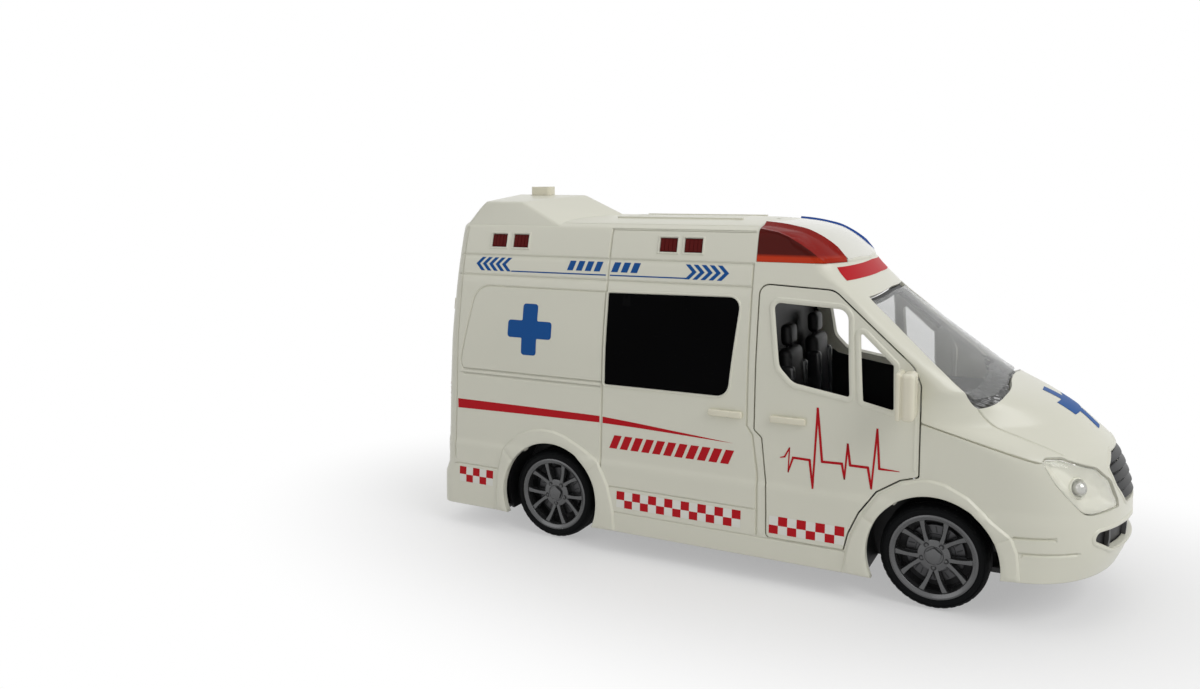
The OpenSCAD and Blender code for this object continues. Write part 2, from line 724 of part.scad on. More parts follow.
// Cab interior
tub_t = 1.5;
tub_y = half_w - wall - 6.5;
tub_x = [8, 66];
tub_air = 2.5;
partition_top = 110;
module interior_tub() {
    color(black) union() {
        box([tub_x[0], -tub_y, tub_z], [tub_x[1], tub_y, tub_z + tub_t]);
        intersection() {
            body_form(wall + tub_air);
            box([tub_x[0], -tub_y, tub_z], [tub_x[0] + tub_t, tub_y, partition_top]);
        }
    }
}
seat_x = 12;
seat_y = 18;
seat_size = [22, 20, 8];
seat_back_h = 30;
headrest_size = [4, 10, 9];
module seat() {
    back = [[1, 0], [9, 0], [5.5, seat_back_h], [0, seat_back_h]];
    translate([seat_x, -seat_size[1] / 2, tub_z + tub_t]) {
        cube(seat_size);
        translate([0, seat_size[1], seat_size[2]]) rotate([90, 0, 0])
            linear_extrude(seat_size[1]) polygon(back);
        translate([0.6, (seat_size[1] - headrest_size[1]) / 2, seat_size[2] + seat_back_h])
            cube(headrest_size);
    }
}
module front_seats() {
    color([0.1, 0.1, 0.11]) for (y = [-seat_y, seat_y]) translate([0, y, 0]) seat();
}
dash_x = [60, 82];
dash_y = 34.5;
dash_low_z = tub_z + tub_t;
dash_top_z = 67;
module dashboard() {
    profile = [[dash_x[0], dash_low_z], [tub_x[1], dash_low_z], [dash_x[1], dash_low_z + 10],
        [dash_x[1], dash_top_z], [dash_x[0] + 5, dash_top_z], [dash_x[0], dash_top_z - 5]];
    color(black) intersection() {
        body_form(wall + tub_air);
        rotate([90, 0, 0]) linear_extrude(2 * dash_y, center = true) polygon(profile);
    }
}
wheel_tilt = 32;
hand_wheel_r = 7.5;
hand_wheel_t = 1;
column_r = 1.6;
column_len = 10;
column_reach = 6;
hand_spoke_w = 1.6;
module steering_wheel() {
    color([0.12, 0.12, 0.13]) translate([dash_x[0], seat_y, dash_top_z - 5]) rotate([0, -90 + wheel_tilt, 0])
        intersection() {
            union() {
                translate([0, 0, column_reach]) rotate_extrude() translate([hand_wheel_r, 0])
                    circle(r = hand_wheel_t, $fn = 24);
                translate([0, 0, column_reach - column_len]) cylinder(h = column_len + 0.5, r = column_r);
                for (a = [0, 120, 240]) rotate([0, 0, a])
                    translate([0, -hand_spoke_w / 2, column_reach - hand_spoke_w / 2])
                        cube([hand_wheel_r, hand_spoke_w, hand_spoke_w]);
            }
            rotate([0, 90 - wheel_tilt, 0]) box([-30, -20, -20], [-0.1, 20, 30]);
        }
}

// Electric parts
board_z = bay_top + board_post_t;
board_t = 1.2;
board_y = 26;
board_mid_x = (bay_x[0] + bay_x[1]) / 2;
chip_rows = [[-19, -15, 8], [-6, 8, 10], [11, -10, 6], [7, 14, 7]];
chip_t = 2.2;
can_rows = [[-11, -2, 2.6], [16, 8, 2]];
can_h = 6;
module circuit_board() {
    color([0.1, 0.35, 0.15]) translate([board_mid_x, 0, board_z]) union() {
        box([bay_x[0] + 2 - board_mid_x, -board_y, 0], [bay_x[1] - 2 - board_mid_x, board_y, board_t]);
        for (p = chip_rows) translate([p[0], p[1], board_t]) cube([p[2], p[2] * 0.7, chip_t]);
        for (p = can_rows) translate([p[0], p[1], board_t]) cylinder(h = can_h, r = p[2]);
    }
}
speaker_rim_t = 2;
speaker_cone_t = 3;
magnet_r = 6;
module speaker() {
    color([0.25, 0.25, 0.27]) translate([speaker_x, 0, floor_top]) union() {
        cylinder(h = speaker_rim_t, r = speaker_r);
        translate([0, 0, speaker_rim_t]) cylinder(h = speaker_cone_t, r1 = speaker_r - 1, r2 = magnet_r + 1);
        translate([0, 0, speaker_rim_t + speaker_cone_t]) cylinder(h = speaker_cone_t, r = magnet_r);
    }
}
led_x = 18;
led_y = half_w - 19;
led_r = 1.5;
led_h = 3;
led_board = [10, 6, 1];
module leds() {
    color([0.9, 0.85, 0.6]) both_sides() translate([led_x, -led_y, led_shelf_z]) union() {
        translate([-led_board[0] / 2, -led_board[1] / 2, 0]) cube(led_board);
        translate([0, 0, led_board[2]]) cylinder(h = led_h, r = led_r);
        translate([0, 0, led_board[2] + led_h]) sphere(r = led_r);
    }
}
module button_switch() {
    reach = switch_post_reach + switch_post_r + 1;
    color([0.15, 0.3, 0.2]) translate([button_mid_x, 0, switch_board_z]) union() {
        box([-reach, -switch_board_w / 2, 0], [reach, switch_board_w / 2, switch_board_t]);
        translate([-switch_size[0] / 2, -switch_size[1] / 2, switch_board_t]) cube(switch_size);
        translate([0, 0, switch_board_t + switch_size[2]]) cylinder(h = switch_tip_t, r = switch_tip_r);
    }
}
module roof_button() {
    color(warm_cream) translate([button_mid_x, 0, 0]) union() {
        box([-button_len / 2, -button_w / 2, button_low_z], [button_len / 2, button_w / 2, button_top_z]);
        box([-button_len / 2 - collar_w, -button_w / 2 - collar_w, button_low_z],
            [button_len / 2 + collar_w, button_w / 2 + collar_w, collar_top_z]);
    }
}
switch_case = [14, 8, 7];
slider_top_z = floor_top + 5;
slider_low_z = sill_z - 0.8;
module switch_body() {
    color([0.2, 0.2, 0.22]) translate([switch_x, switch_y, 0]) difference() {
        box([-switch_case[0] / 2, -switch_case[1] / 2, floor_top],
            [switch_case[0] / 2, switch_case[1] / 2, floor_top + switch_case[2]]);
        box([-slider_room[0], -slider_room[1], 0], [slider_room[0], slider_room[1], slider_top_z + slack]);
    }
}
module switch_slider() {
    color([0.1, 0.1, 0.1]) translate([switch_x - switch_travel / 2, switch_y, 0])
        box([-slider_size[0] / 2, -slider_size[1] / 2, slider_low_z],
            [slider_size[0] / 2, slider_size[1] / 2, slider_top_z]);
}
function cell_y(k) = (k - (cells - 1) / 2) * (cell_d + cell_gap);
cell_cap_r = 2.6;
contact_t = 0.6;
contact_w = 8;
module battery_cells() {
    color([0.75, 0.55, 0.2]) for (k = [0:cells - 1])
        translate([(bay_x[0] + bay_x[1] - cell_len) / 2, cell_y(k), floor_top + cell_d / 2 + 0.1])
            rotate([0, 90, 0]) union() {
                cylinder(h = cell_len - 1, r = cell_d / 2);
                cylinder(h = cell_len, r = cell_cap_r);
            }
}
module battery_contacts() {
    color(steel) for (k = [0:cells - 1]) for (x = [cover_x[0] + 0.1, bay_x[1] - bay_t - contact_t - 0.1])
        translate([x, cell_y(k) - contact_w / 2, floor_top + 1]) cube([contact_t, contact_w, cell_d - 3]);
}
module battery_cover() {
    color(black) difference() {
        box([cover_x[0] + cover_gap, -bay_y + bay_t + cover_gap, sill_z],
            [cover_x[1], bay_y - bay_t - cover_gap, sill_z + cover_t]);
        translate([cover_screw_x, 0, 0]) screw_hole();
    }
}
module screw_hole() {
    cylinder(h = sill_z + screw_len, r = screw_r + 0.2);
    cylinder(h = sill_z + screw_head_t, r = screw_head_r + 0.1);
}
module screw() {
    difference() {
        union() {
            cylinder(h = screw_head_t, r = screw_head_r);
            cylinder(h = screw_len, r = screw_r);
        }
        for (a = [0, 90]) rotate([0, 0, a]) translate([-1.2, -0.25, -1]) cube([2.4, 0.5, 1.6]);
    }
}
module chassis_screws() {
    color(steel) {
        both_sides() for (x = boss_x) translate([x, -boss_y, sill_z]) screw();
        translate([cover_screw_x, 0, sill_z]) screw();
    }
}

// Rear drive
function gear_r(teeth) = gear_module * teeth / 2;
middle_dist = gear_r(axle_teeth) + gear_r(pinion_teeth);
motor_dist = gear_r(middle_teeth) + gear_r(pinion_teeth);
middle_dir = 60;
motor_dir = 12;
middle_pos = [rear_axle_x + middle_dist * cos(middle_dir), axle_z + middle_dist * sin(middle_dir)];
motor_pos = middle_pos + motor_dist * [cos(motor_dir), sin(motor_dir)];
case_t = 1.2;
case_y = [0, 10.6];
gear_y = [2, 6];
small_gear_y = [1.6, 6.6];
large_gear_y = [6.6, 9.6];
pinion_y = [6.6, 9.9];
pressure = 25;
backlash = 0.07;
function involute(a) = tan(a) * 180 / PI - a;
// Half the angle of a tooth at the radius r
function half_tooth(teeth, r) = let (rb = gear_r(teeth) * cos(pressure))
    90 / teeth - backlash / gear_r(teeth) * 90 / PI + involute(pressure)
        - (r > rb ? involute(acos(rb / r)) : 0);
function polar(r, a) = r * [cos(a), sin(a)];
function gear_points(teeth) = let (
        rp = gear_r(teeth),
        root = rp - gear_module,
        tip = rp + 0.8 * gear_module,
        low = max(root, rp * cos(pressure)),
        flank = [for (k = [0:4]) low + (tip - low) * k / 4]
    ) [for (n = [0:teeth - 1]) let (mid = 360 * n / teeth) each concat(
        [polar(root, mid - half_tooth(teeth, root))],
        [for (r = flank) if (r > root) polar(r, mid - half_tooth(teeth, r))],
        [for (k = [4:-1:0]) let (r = flank[k]) if (r > root) polar(r, mid + half_tooth(teeth, r))],
        [polar(root, mid + half_tooth(teeth, root))]
    )];
// A toothed wheel round an axis along the width, with a tooth at the angle dir
module toothed(teeth, dir, pos, y, bore_r) {
    translate([pos[0], y[1], pos[1]]) rotate([90, 0, 0]) linear_extrude(y[1] - y[0]) difference() {
        rotate(dir) polygon(gear_points(teeth));
        circle(r = bore_r);
    }
}
module axle_gear() {
    color([0.92, 0.92, 0.88])
        toothed(axle_teeth, middle_dir, [rear_axle_x, axle_z], gear_y, axle_r + press_gap);
}
counter_r = 1;
// Turn of a pinion that sets a gap where the other gear has its tooth
function mesh_dir(dir) = dir + 180 + 180 / pinion_teeth;
module middle_gear() {
    color([0.92, 0.92, 0.88]) union() {
        toothed(pinion_teeth, mesh_dir(middle_dir), middle_pos, small_gear_y, counter_r + run_gap);
        toothed(middle_teeth, motor_dir, middle_pos, large_gear_y, counter_r + run_gap);
    }
}
module motor_pinion() {
    color([0.75, 0.6, 0.25])
        toothed(pinion_teeth, mesh_dir(motor_dir), motor_pos, pinion_y, counter_r + run_gap);
}
module countershaft() {
    color(steel) cross_rod(middle_pos[0], middle_pos[1], counter_r, case_y[0], case_y[1] + case_t);
}
case_room = 1.8;
case_low_x = rear_axle_x - gear_r(axle_teeth) - case_room;
case_high_x = motor_pos[0] + gear_r(pinion_teeth) + case_room;
case_top = middle_pos[1] + gear_r(middle_teeth) + case_room;
motor_nose_r = 3;
module gear_holes(y_low, y_high) {
    cross_rod(rear_axle_x, axle_z, axle_r + run_gap, y_low, y_high);
    cross_rod(middle_pos[0], middle_pos[1], counter_r + press_gap, y_low, y_high);
}
module gearbox_case() {
    color([0.12, 0.12, 0.13]) difference() {
        box([case_low_x, case_y[0], floor_top], [case_high_x, case_y[1], case_top]);
        box([case_low_x + case_t, case_y[0] + case_t, 0],
            [case_high_x - case_t, 2 * case_y[1], case_top - case_t]);
        gear_holes(-5, 5);
        cross_rod(motor_pos[0], motor_pos[1], motor_nose_r, -5, 5);
    }
}
module gearbox_cover() {
    color([0.12, 0.12, 0.13]) difference() {
        box([case_low_x, case_y[1], floor_top], [case_high_x, case_y[1] + case_t, case_top]);
        gear_holes(5, 20);
    }
}
module drive_motor() {
    color(steel) union() {
        cross_rod(motor_pos[0], motor_pos[1], motor_r, case_y[0] - motor_len, case_y[0]);
        cross_rod(motor_pos[0], motor_pos[1], counter_r, case_y[0] - 1, case_y[1] - 0.3);
    }
}
hub_r = 4;
hub_in_y = 30.6;
hub_out_y = wheel_face_y - 1.4;
hub_cap_t = 0.6;
axle_end_y = hub_out_y - 0.8;
module rear_axle() {
    color(steel) cross_rod(rear_axle_x, axle_z, axle_r, -axle_end_y, axle_end_y);
}

// Wheels, drawn for the right side
rim_lip_r = rim_r + 1.6;
rim_in_r = rim_r - 0.8;
rim_face_y = wheel_face_y - 0.5;
wheel_in_y = wheel_face_y - tyre_w;
spoke_w = 1.5;
spoke_t = 1.8;
spoke_turn = 5;
disc_r = 10;
disc_y = [wheel_face_y - 6.6, wheel_face_y - 5.4];
web_t = 0.8;
module ring_profile(points, x) {
    translate([x, 0, axle_z]) rotate([90, 0, 0]) rotate_extrude($fn = 96) polygon(points);
}
module disc(r, y_low, y_high, x) {
    ring_profile([[0, y_low], [r, y_low], [r, y_high], [0, y_high]], x);
}
module rim(x, gap) {
    difference() {
        union() {
            ring_profile([[rim_in_r, wheel_in_y + 1], [rim_r, wheel_in_y + 1], [rim_r, wheel_face_y - 2],
                [rim_lip_r, wheel_face_y - 1.4], [rim_lip_r, rim_face_y], [rim_lip_r - 1.2, rim_face_y],
                [rim_in_r, wheel_face_y - 2]], x);
            disc(hub_r, hub_in_y, hub_out_y, x);
            disc(hub_r - 1, hub_out_y, hub_out_y + hub_cap_t, x);
            // Brake disc look-alike behind the spokes, and the web that carries it
            disc(disc_r, disc_y[0], disc_y[1], x);
            disc(rim_in_r + 0.3, disc_y[0] - web_t, disc_y[0], x);
            for (k = [0:spokes - 1]) translate([x, 0, axle_z])
                rotate([0, k * 360 / spokes + (k % 2 == 0 ? spoke_turn : -spoke_turn), 0])
                    box([-spoke_w / 2, -wheel_face_y + 1.2, hub_r - 0.8],
                        [spoke_w / 2, -wheel_face_y + 1.2 + spoke_t, rim_in_r + 0.3]);
        }
        cross_rod(x, axle_z, axle_r + gap, -hub_out_y + 0.4, -hub_in_y + 1);
    }
}
module tyre(x) {
    ring_profile([[rim_r + press_gap, wheel_in_y], [tyre_r - 1.4, wheel_in_y], [tyre_r, wheel_in_y + 2],
        [tyre_r, wheel_face_y - 2], [tyre_r - 1.2, wheel_face_y], [rim_lip_r + 0.1, wheel_face_y],
        [rim_lip_r + 0.1, wheel_face_y - 2.2], [rim_r + press_gap, wheel_face_y - 2.9]], x);
}
module rim_at(x, gap, side) {
    color(gunmetal) on_side(-side) rim(x, gap);
}
module tyre_at(x, side) {
    color([0.05, 0.05, 0.055]) on_side(-side) tyre(x);
}

// Steering
knuckle_z = [floor_top + 1.2, axle_z + 6.3];
barrel_out_r = 2.8;
arm_z = [axle_z + 2.3, axle_z + 3.9];
arm_r = 1.6;
rod_z = [arm_z[1] + slack, arm_z[1] + slack + 1.6];
rod_w = 2.4;
rod_eye_r = 2.1;
horn_z = [rod_z[1] + slack, rod_z[1] + slack + 1.6];
horn_r = 3;
horn_w = 3;
link_x = front_axle_x - steer_arm;
pin_head_r = kingpin_r + 0.9;
pin_head_t = 1;
module knuckle(side) {
    color([0.12, 0.12, 0.13]) on_side(-side) difference() {
        union() {
            translate([front_axle_x, -kingpin_y, knuckle_z[0]])
                cylinder(h = knuckle_z[1] - knuckle_z[0], r = barrel_out_r);
            cross_rod(front_axle_x, axle_z, axle_r, -axle_end_y, -kingpin_y - kingpin_r - 0.3);
            box([link_x, -kingpin_y - arm_r, arm_z[0]], [front_axle_x, -kingpin_y + arm_r, arm_z[1]]);
            translate([link_x, -kingpin_y, arm_z[0]]) cylinder(h = arm_z[1] - arm_z[0], r = arm_r);
            translate([link_x, -kingpin_y, arm_z[0]]) cylinder(h = rod_z[1] - arm_z[0], r = link_pin_r);
        }
        translate([front_axle_x, -kingpin_y, 0]) cylinder(h = 2 * knuckle_z[1], r = kingpin_r + run_gap);
    }
}
module kingpins() {
    low_z = sill_z + 0.2;
    head_z = knuckle_z[1] + 0.2;
    color(steel) both_sides() translate([front_axle_x, -kingpin_y, 0]) union() {
        translate([0, 0, low_z]) cylinder(h = head_z - low_z, r = kingpin_r);
        translate([0, 0, head_z]) cylinder(h = pin_head_t, r = pin_head_r);
    }
}
slot_run = 0.4;
slot_r = link_pin_r + 0.07;
module link_slot(y) {
    for (x = [link_x - slot_run, link_x + slot_run]) translate([x, y, 0])
        cylinder(h = 2 * rod_z[1], r = slot_r);
    box([link_x - slot_run, y - slot_r, 0], [link_x + slot_run, y + slot_r, 2 * rod_z[1]]);
}
module tie_rod() {
    color([0.15, 0.15, 0.16]) difference() {
        union() {
            box([link_x - rod_w / 2, -kingpin_y, rod_z[0]], [link_x + rod_w / 2, kingpin_y, rod_z[1]]);
            for (y = [-kingpin_y, 0, kingpin_y]) translate([link_x, y, rod_z[0]])
                cylinder(h = rod_z[1] - rod_z[0], r = rod_eye_r);
        }
        for (y = [-kingpin_y, 0, kingpin_y]) link_slot(y);
    }
}
servo_size = [20, 18];
servo_z = horn_z[0] - 0.2;
servo_shaft_r = 1.5;
module servo_horn() {
    color([0.9, 0.9, 0.86]) difference() {
        union() {
            translate([front_axle_x, 0, horn_z[0]]) cylinder(h = horn_z[1] - horn_z[0], r = horn_r);
            box([link_x, -horn_w / 2, horn_z[0]], [front_axle_x, horn_w / 2, horn_z[1]]);
            translate([link_x, 0, horn_z[0]]) cylinder(h = horn_z[1] - horn_z[0], r = horn_w / 2);
            translate([link_x, 0, rod_z[0]]) cylinder(h = horn_z[1] - rod_z[0], r = link_pin_r);
        }
        translate([front_axle_x, 0, 0]) cylinder(h = 2 * horn_z[1], r = servo_shaft_r + run_gap);
    }
}
module steering_servo() {
    color([0.1, 0.1, 0.11]) translate([front_axle_x, 0, 0]) union() {
        box([-5, -servo_size[1] / 2, floor_top], [servo_size[0] - 5, servo_size[1] / 2, servo_z]);
        translate([0, 0, servo_z - 1]) cylinder(h = horn_z[1] + 1.4 - servo_z, r = servo_shaft_r);
    }
}

body_shell();
chassis_base();
front_grille();
lower_intake();
headlight_lenses();
headlight_reflectors();
windshield();
side_windows();
rear_windows();
tail_lights();
lightbar_lens_red();
lightbar_lens_blue();
marker_lenses();
interior_tub();
front_seats();
dashboard();
steering_wheel();
circuit_board();
speaker();
leds();
gearbox_case();
gearbox_cover();
drive_motor();
countershaft();
battery_cells();
battery_contacts();
battery_cover();
chassis_screws();
switch_body();
steering_servo();
kingpins();
door_hinge_pins();
sliding_door_handles();
button_switch();
roof_button();
switch_slider();
rear_axle();
axle_gear();
rim_at(rear_axle_x, press_gap, 1);  // rear_rim_left
rim_at(rear_axle_x, press_gap, -1);  // rear_rim_right
tyre_at(rear_axle_x, 1);  // rear_tyre_left
tyre_at(rear_axle_x, -1);  // rear_tyre_right
middle_gear();
motor_pinion();
knuckle(1);  // knuckle_left
knuckle(-1);  // knuckle_right
rim_at(front_axle_x, run_gap, 1);  // front_rim_left
rim_at(front_axle_x, run_gap, -1);  // front_rim_right
tyre_at(front_axle_x, 1);  // front_tyre_left
tyre_at(front_axle_x, -1);  // front_tyre_right
tie_rod();
servo_horn();
cab_door(1);  // cab_door_left
cab_door(-1);  // cab_door_right
door_mirror(1);  // mirror_left
door_mirror(-1);  // mirror_right
door_handle(1);  // door_handle_left
door_handle(-1);  // door_handle_right
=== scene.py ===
import json
import math

import bmesh
import bpy
import numpy as np
from mathutils import Matrix, Vector
from mathutils.geometry import delaunay_2d_cdt


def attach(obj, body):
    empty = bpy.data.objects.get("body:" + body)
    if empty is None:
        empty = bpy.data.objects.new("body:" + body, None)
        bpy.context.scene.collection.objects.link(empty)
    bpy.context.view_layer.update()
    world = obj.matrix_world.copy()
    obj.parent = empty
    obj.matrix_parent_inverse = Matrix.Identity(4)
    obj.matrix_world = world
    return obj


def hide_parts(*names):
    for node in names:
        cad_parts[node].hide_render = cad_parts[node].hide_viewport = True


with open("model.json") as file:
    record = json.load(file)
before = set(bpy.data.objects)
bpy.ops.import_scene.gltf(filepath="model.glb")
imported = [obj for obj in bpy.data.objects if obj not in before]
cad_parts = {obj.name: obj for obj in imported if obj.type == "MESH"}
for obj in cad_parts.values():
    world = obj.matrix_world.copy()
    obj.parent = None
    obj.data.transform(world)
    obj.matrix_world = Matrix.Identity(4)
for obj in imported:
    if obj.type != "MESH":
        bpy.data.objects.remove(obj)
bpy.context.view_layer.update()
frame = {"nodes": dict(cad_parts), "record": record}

MM = 0.001
MIRROR = (1, -1, 1)
VEHICLE = "vehicle"

# Sizes shared with the solids, in millimetres
HALF_W = 45.0
TAIL_LEN = 133.0
WALL = 2.0
SILL_Z = 9.0
BUMPER_Z = 16.0
FRONT_AXLE_X = 73.0
REAR_AXLE_X = -78.0
AXLE_Z = 18.3
ARCH_R = 22.0
DOOR_GAP = 0.5
PANE_GAP = 0.15

# The body as level slices: height, lean of the side, start and end of the front curve,
# the two powers of the front curve, and how far the tail steps in
SLICES = np.array([
    [9, -0.2, 92, 125, 2.5, 1.75, 0], [16, -0.1, 92, 129, 2.5, 1.75, 0], [23, 0.2, 92, 132, 2.6, 1.8, 0],
    [25, 0.4, 92, 132.6, 2.7, 1.8, 1.5], [30, 0.6, 92, 133, 2.8, 1.8, 1.5], [36, 0.8, 92, 133, 2.8, 1.8, 1.5],
    [36.8, 1.3, 92, 133, 2.8, 1.8, 1.5], [40, 1.5, 92, 132.8, 2.8, 1.8, 1.5],
    [45, 1.8, 92, 131.6, 2.8, 1.8, 1.5], [51, 2.2, 92, 129.2, 2.7, 1.8, 1.5],
    [55.5, 2.5, 91, 126.5, 2.5, 1.8, 1.5], [58.5, 2.7, 86, 123.4, 2.1, 1.9, 1.5],
    [61.5, 2.9, 78, 120.3, 1.75, 2, 1.5], [65, 3.1, 68, 116.5, 1.55, 2.05, 1.6],
    [68.5, 3.35, 66, 111, 1.6, 2.1, 1.6], [71.5, 3.55, 67, 104.8, 1.7, 2.15, 1.7],
    [74, 3.7, 70, 98, 1.85, 2.15, 1.7], [75.8, 3.85, 72.5, 93.4, 2, 2.1, 1.7],
    [80, 4.2, 70, 86.6, 2, 2.1, 1.8], [88, 5.3, 61, 75, 2, 2.1, 1.9], [97, 6.8, 51, 62, 2, 2.1, 2.1],
    [105.3, 8.3, 43, 50.6, 2, 2.1, 2.2], [110, 9.3, 36.5, 47, 2, 2.1, 2.3],
    [114, 10.2, 30.5, 43.9, 2, 2.1, 2.4], [117.2, 11, 28, 41.5, 2, 2.1, 2.5],
    [118.6, 11.3, 30, 40.4, 2, 2.1, 2.5], [121.4, 12.1, 26.3, 37.7, 2, 2.1, 2.6],
    [124, 12.8, 22, 35, 2, 2.1, 2.6], [126.5, 13.6, 17, 31.5, 2, 2.1, 2.7],
    [128.3, 14.3, 12, 28.2, 2, 2.1, 2.8], [129.4, 15.4, 6, 25, 2, 2.1, 3.2], [130.4, 18, 2, 21, 2, 2.1, 4],
    [131.3, 22.5, -4, 15, 2, 2.1, 5], [132.1, 29.5, -12, 8, 2, 2.1, 6.5], [132.6, 37, -20, 0, 2, 2.1, 9]])

# The unrolled skin: s runs from the middle of the tail round the right side to the middle of
# the nose, and equals x between the two seams; v grows with z, faster where the skin lies flat
S_TAIL, S_REAR, S_FRONT, S_NOSE = -180.0, -120.0, 6.3, 180.0
V_KNOTS = np.array([0, 45, 93, 141, 174.0])
Z_KNOTS = np.array([9, 54, 78, 126, 132.6])
TAIL_CORNER_R = 6.0
# Columns of the skin table round the tail, along the side and round the nose, and its rows
TAIL_N, SIDE_N, NOSE_N, LEVEL_N = 121, 254, 349, 349
NOSE_AT = TAIL_N + SIDE_N - 1
CORNER_AT = 60


def v_of(z):
    return np.interp(z, Z_KNOTS, V_KNOTS)


def z_of(v):
    return np.interp(v, V_KNOTS, Z_KNOTS)


def smooth_rows(z):
    """The slice values at the heights z, on a curve that doesn't overshoot."""
    x, y = SLICES[:, 0], SLICES[:, 1:]
    h = np.diff(x)[:, None]
    d = np.diff(y, axis=0) / h
    m = np.zeros_like(y)
    w1 = 2 * h[1:] + h[:-1]
    w2 = h[1:] + 2 * h[:-1]
    same = d[1:] * d[:-1] > 0
    with np.errstate(divide="ignore", invalid="ignore"):
        m[1:-1] = np.where(same, (w1 + w2) / (w1 / d[:-1] + w2 / d[1:]), 0)
    m[0], m[-1] = d[0], d[-1]
    i = np.clip(np.searchsorted(x, z) - 1, 0, len(x) - 2)
    t = ((z - x[i]) / (x[i + 1] - x[i]))[:, None]
    hh = (x[i + 1] - x[i])[:, None]
    return ((1 + 2 * t) * (1 - t) ** 2 * y[i] + t * (1 - t) ** 2 * hh * m[i]
            + t ** 2 * (3 - 2 * t) * y[i + 1] + t ** 2 * (t - 1) * hh * m[i + 1])


def along(points, count):
    """Points spread evenly along a polyline."""
    points = np.asarray(points, float)
    run = np.concatenate([[0], np.cumsum(np.linalg.norm(np.diff(points, axis=0), axis=1))])
    at = np.linspace(0, run[-1], count)
    return np.stack([np.interp(at, run, points[:, k]) for k in range(points.shape[1])], 1)


def level_row(values):
    """One level line of the right half, as points for s from the tail to the nose."""
    lean, start, end, pa, pb, tail = values
    w = HALF_W - lean
    back = tail - TAIL_LEN
    r = TAIL_CORNER_R
    a = np.linspace(0, np.pi / 2, 16)
    corner = np.stack([back + r - r * np.cos(a), -(max(1, w - r) + min(r, w - 1) * np.sin(a))], 1)
    tail_part = along(np.concatenate([[[back, 0]], corner, [[S_REAR, -w]]]), TAIL_N)
    seam = min(S_FRONT, start + 0.75 * (end - start))

    def side(x):
        u = np.clip((x - start) / (end - start), 0, 1)
        return -w * (1 - u ** pa) ** (1 / pb)

    x = S_REAR + (np.linspace(S_REAR, S_FRONT, SIDE_N) - S_REAR) * (seam - S_REAR) / (S_FRONT - S_REAR)
    middle = np.stack([x, side(x)], 1)
    u0 = max(0.0, (seam - start) / (end - start))
    t = np.linspace(math.asin(min(1, u0 ** (pa / 2))), np.pi / 2, 240)
    curve = np.stack([start + (end - start) * np.sin(t) ** (2 / pa),
                      -w * np.maximum(0, np.cos(t)) ** (2 / pb)], 1)
    curve[-1, 1] = 0
    first = [[seam, side(np.array([seam]))[0]]]
    front = along(np.concatenate([first, curve[1:] if u0 > 0 else curve]), NOSE_N)
    return np.concatenate([tail_part, middle[1:], front[1:]])


TABLE_V = np.linspace(0, V_KNOTS[-1], LEVEL_N)
TABLE_S = np.concatenate([np.linspace(S_TAIL, S_REAR, TAIL_N), np.linspace(S_REAR, S_FRONT, SIDE_N)[1:],
                          np.linspace(S_FRONT, S_NOSE, NOSE_N)[1:]])
TABLE = np.stack([level_row(row) for row in smooth_rows(z_of(TABLE_V))])


def skin_points(sv):
    """Points of the right half of the skin at (s, v)."""
    s = np.clip(sv[:, 0], S_TAIL, S_NOSE)
    v = np.clip(sv[:, 1], 0, V_KNOTS[-1])
    i = np.clip(np.searchsorted(TABLE_S, s) - 1, 0, len(TABLE_S) - 2)
    j = np.clip(np.searchsorted(TABLE_V, v) - 1, 0, len(TABLE_V) - 2)
    a = ((s - TABLE_S[i]) / (TABLE_S[i + 1] - TABLE_S[i]))[:, None]
    b = ((v - TABLE_V[j]) / (TABLE_V[j + 1] - TABLE_V[j]))[:, None]
    xy = (TABLE[j, i] * (1 - a) * (1 - b) + TABLE[j, i + 1] * a * (1 - b)
          + TABLE[j + 1, i] * (1 - a) * b + TABLE[j + 1, i + 1] * a * b)
    return np.column_stack([xy, z_of(v)])


def skin_normals(sv):
    e = 0.6
    ds = skin_points(sv + [e, 0]) - skin_points(sv - [e, 0])
    dv = skin_points(sv + [0, e]) - skin_points(sv - [0, e])
    n = np.cross(ds, dv)
    return n / np.maximum(1e-9, np.linalg.norm(n, axis=1))[:, None]


def on_skin(sv, lift=0.0):
    sv = np.asarray(sv, float)
    return skin_points(sv) + skin_normals(sv) * np.broadcast_to(np.asarray(lift, float), len(sv))[:, None]


def skin_row(z):
    v = v_of(z)
    j = int(np.clip(np.searchsorted(TABLE_V, v) - 1, 0, len(TABLE_V) - 2))
    b = (v - TABLE_V[j]) / (TABLE_V[j + 1] - TABLE_V[j])
    return TABLE[j] * (1 - b) + TABLE[j + 1] * b


def s_at_y(y, z):
    """The s on the nose where the skin at height z has this y."""
    return np.interp(y, skin_row(z)[NOSE_AT:, 1], TABLE_S[NOSE_AT:])


def s_at_x(x, z, first=TAIL_N):
    """The s on the side where the skin at height z has this x."""
    return np.interp(x, skin_row(z)[first:, 0], TABLE_S[first:])


def from_side(points):
    """(x, z) of a side view on the unrolled skin."""
    return np.array([(s_at_x(x, z, CORNER_AT), v_of(z)) for x, z in points])


def from_front(points):
    """(y, z) of a front view on the unrolled skin; y beyond the middle plane lies past the nose."""
    out = []
    for y, z in points:
        s = s_at_y(-abs(y), z)
        out.append((s if y <= 0 else 2 * S_NOSE - s, v_of(z)))
    return np.array(out)


def from_rear(points):
    """(y, z) of a rear view on the unrolled skin."""
    tail_s = TABLE_S[:TAIL_N][::-1]
    return np.array([(np.interp(y, skin_row(z)[:TAIL_N, 1][::-1], tail_s), v_of(z)) for y, z in points])


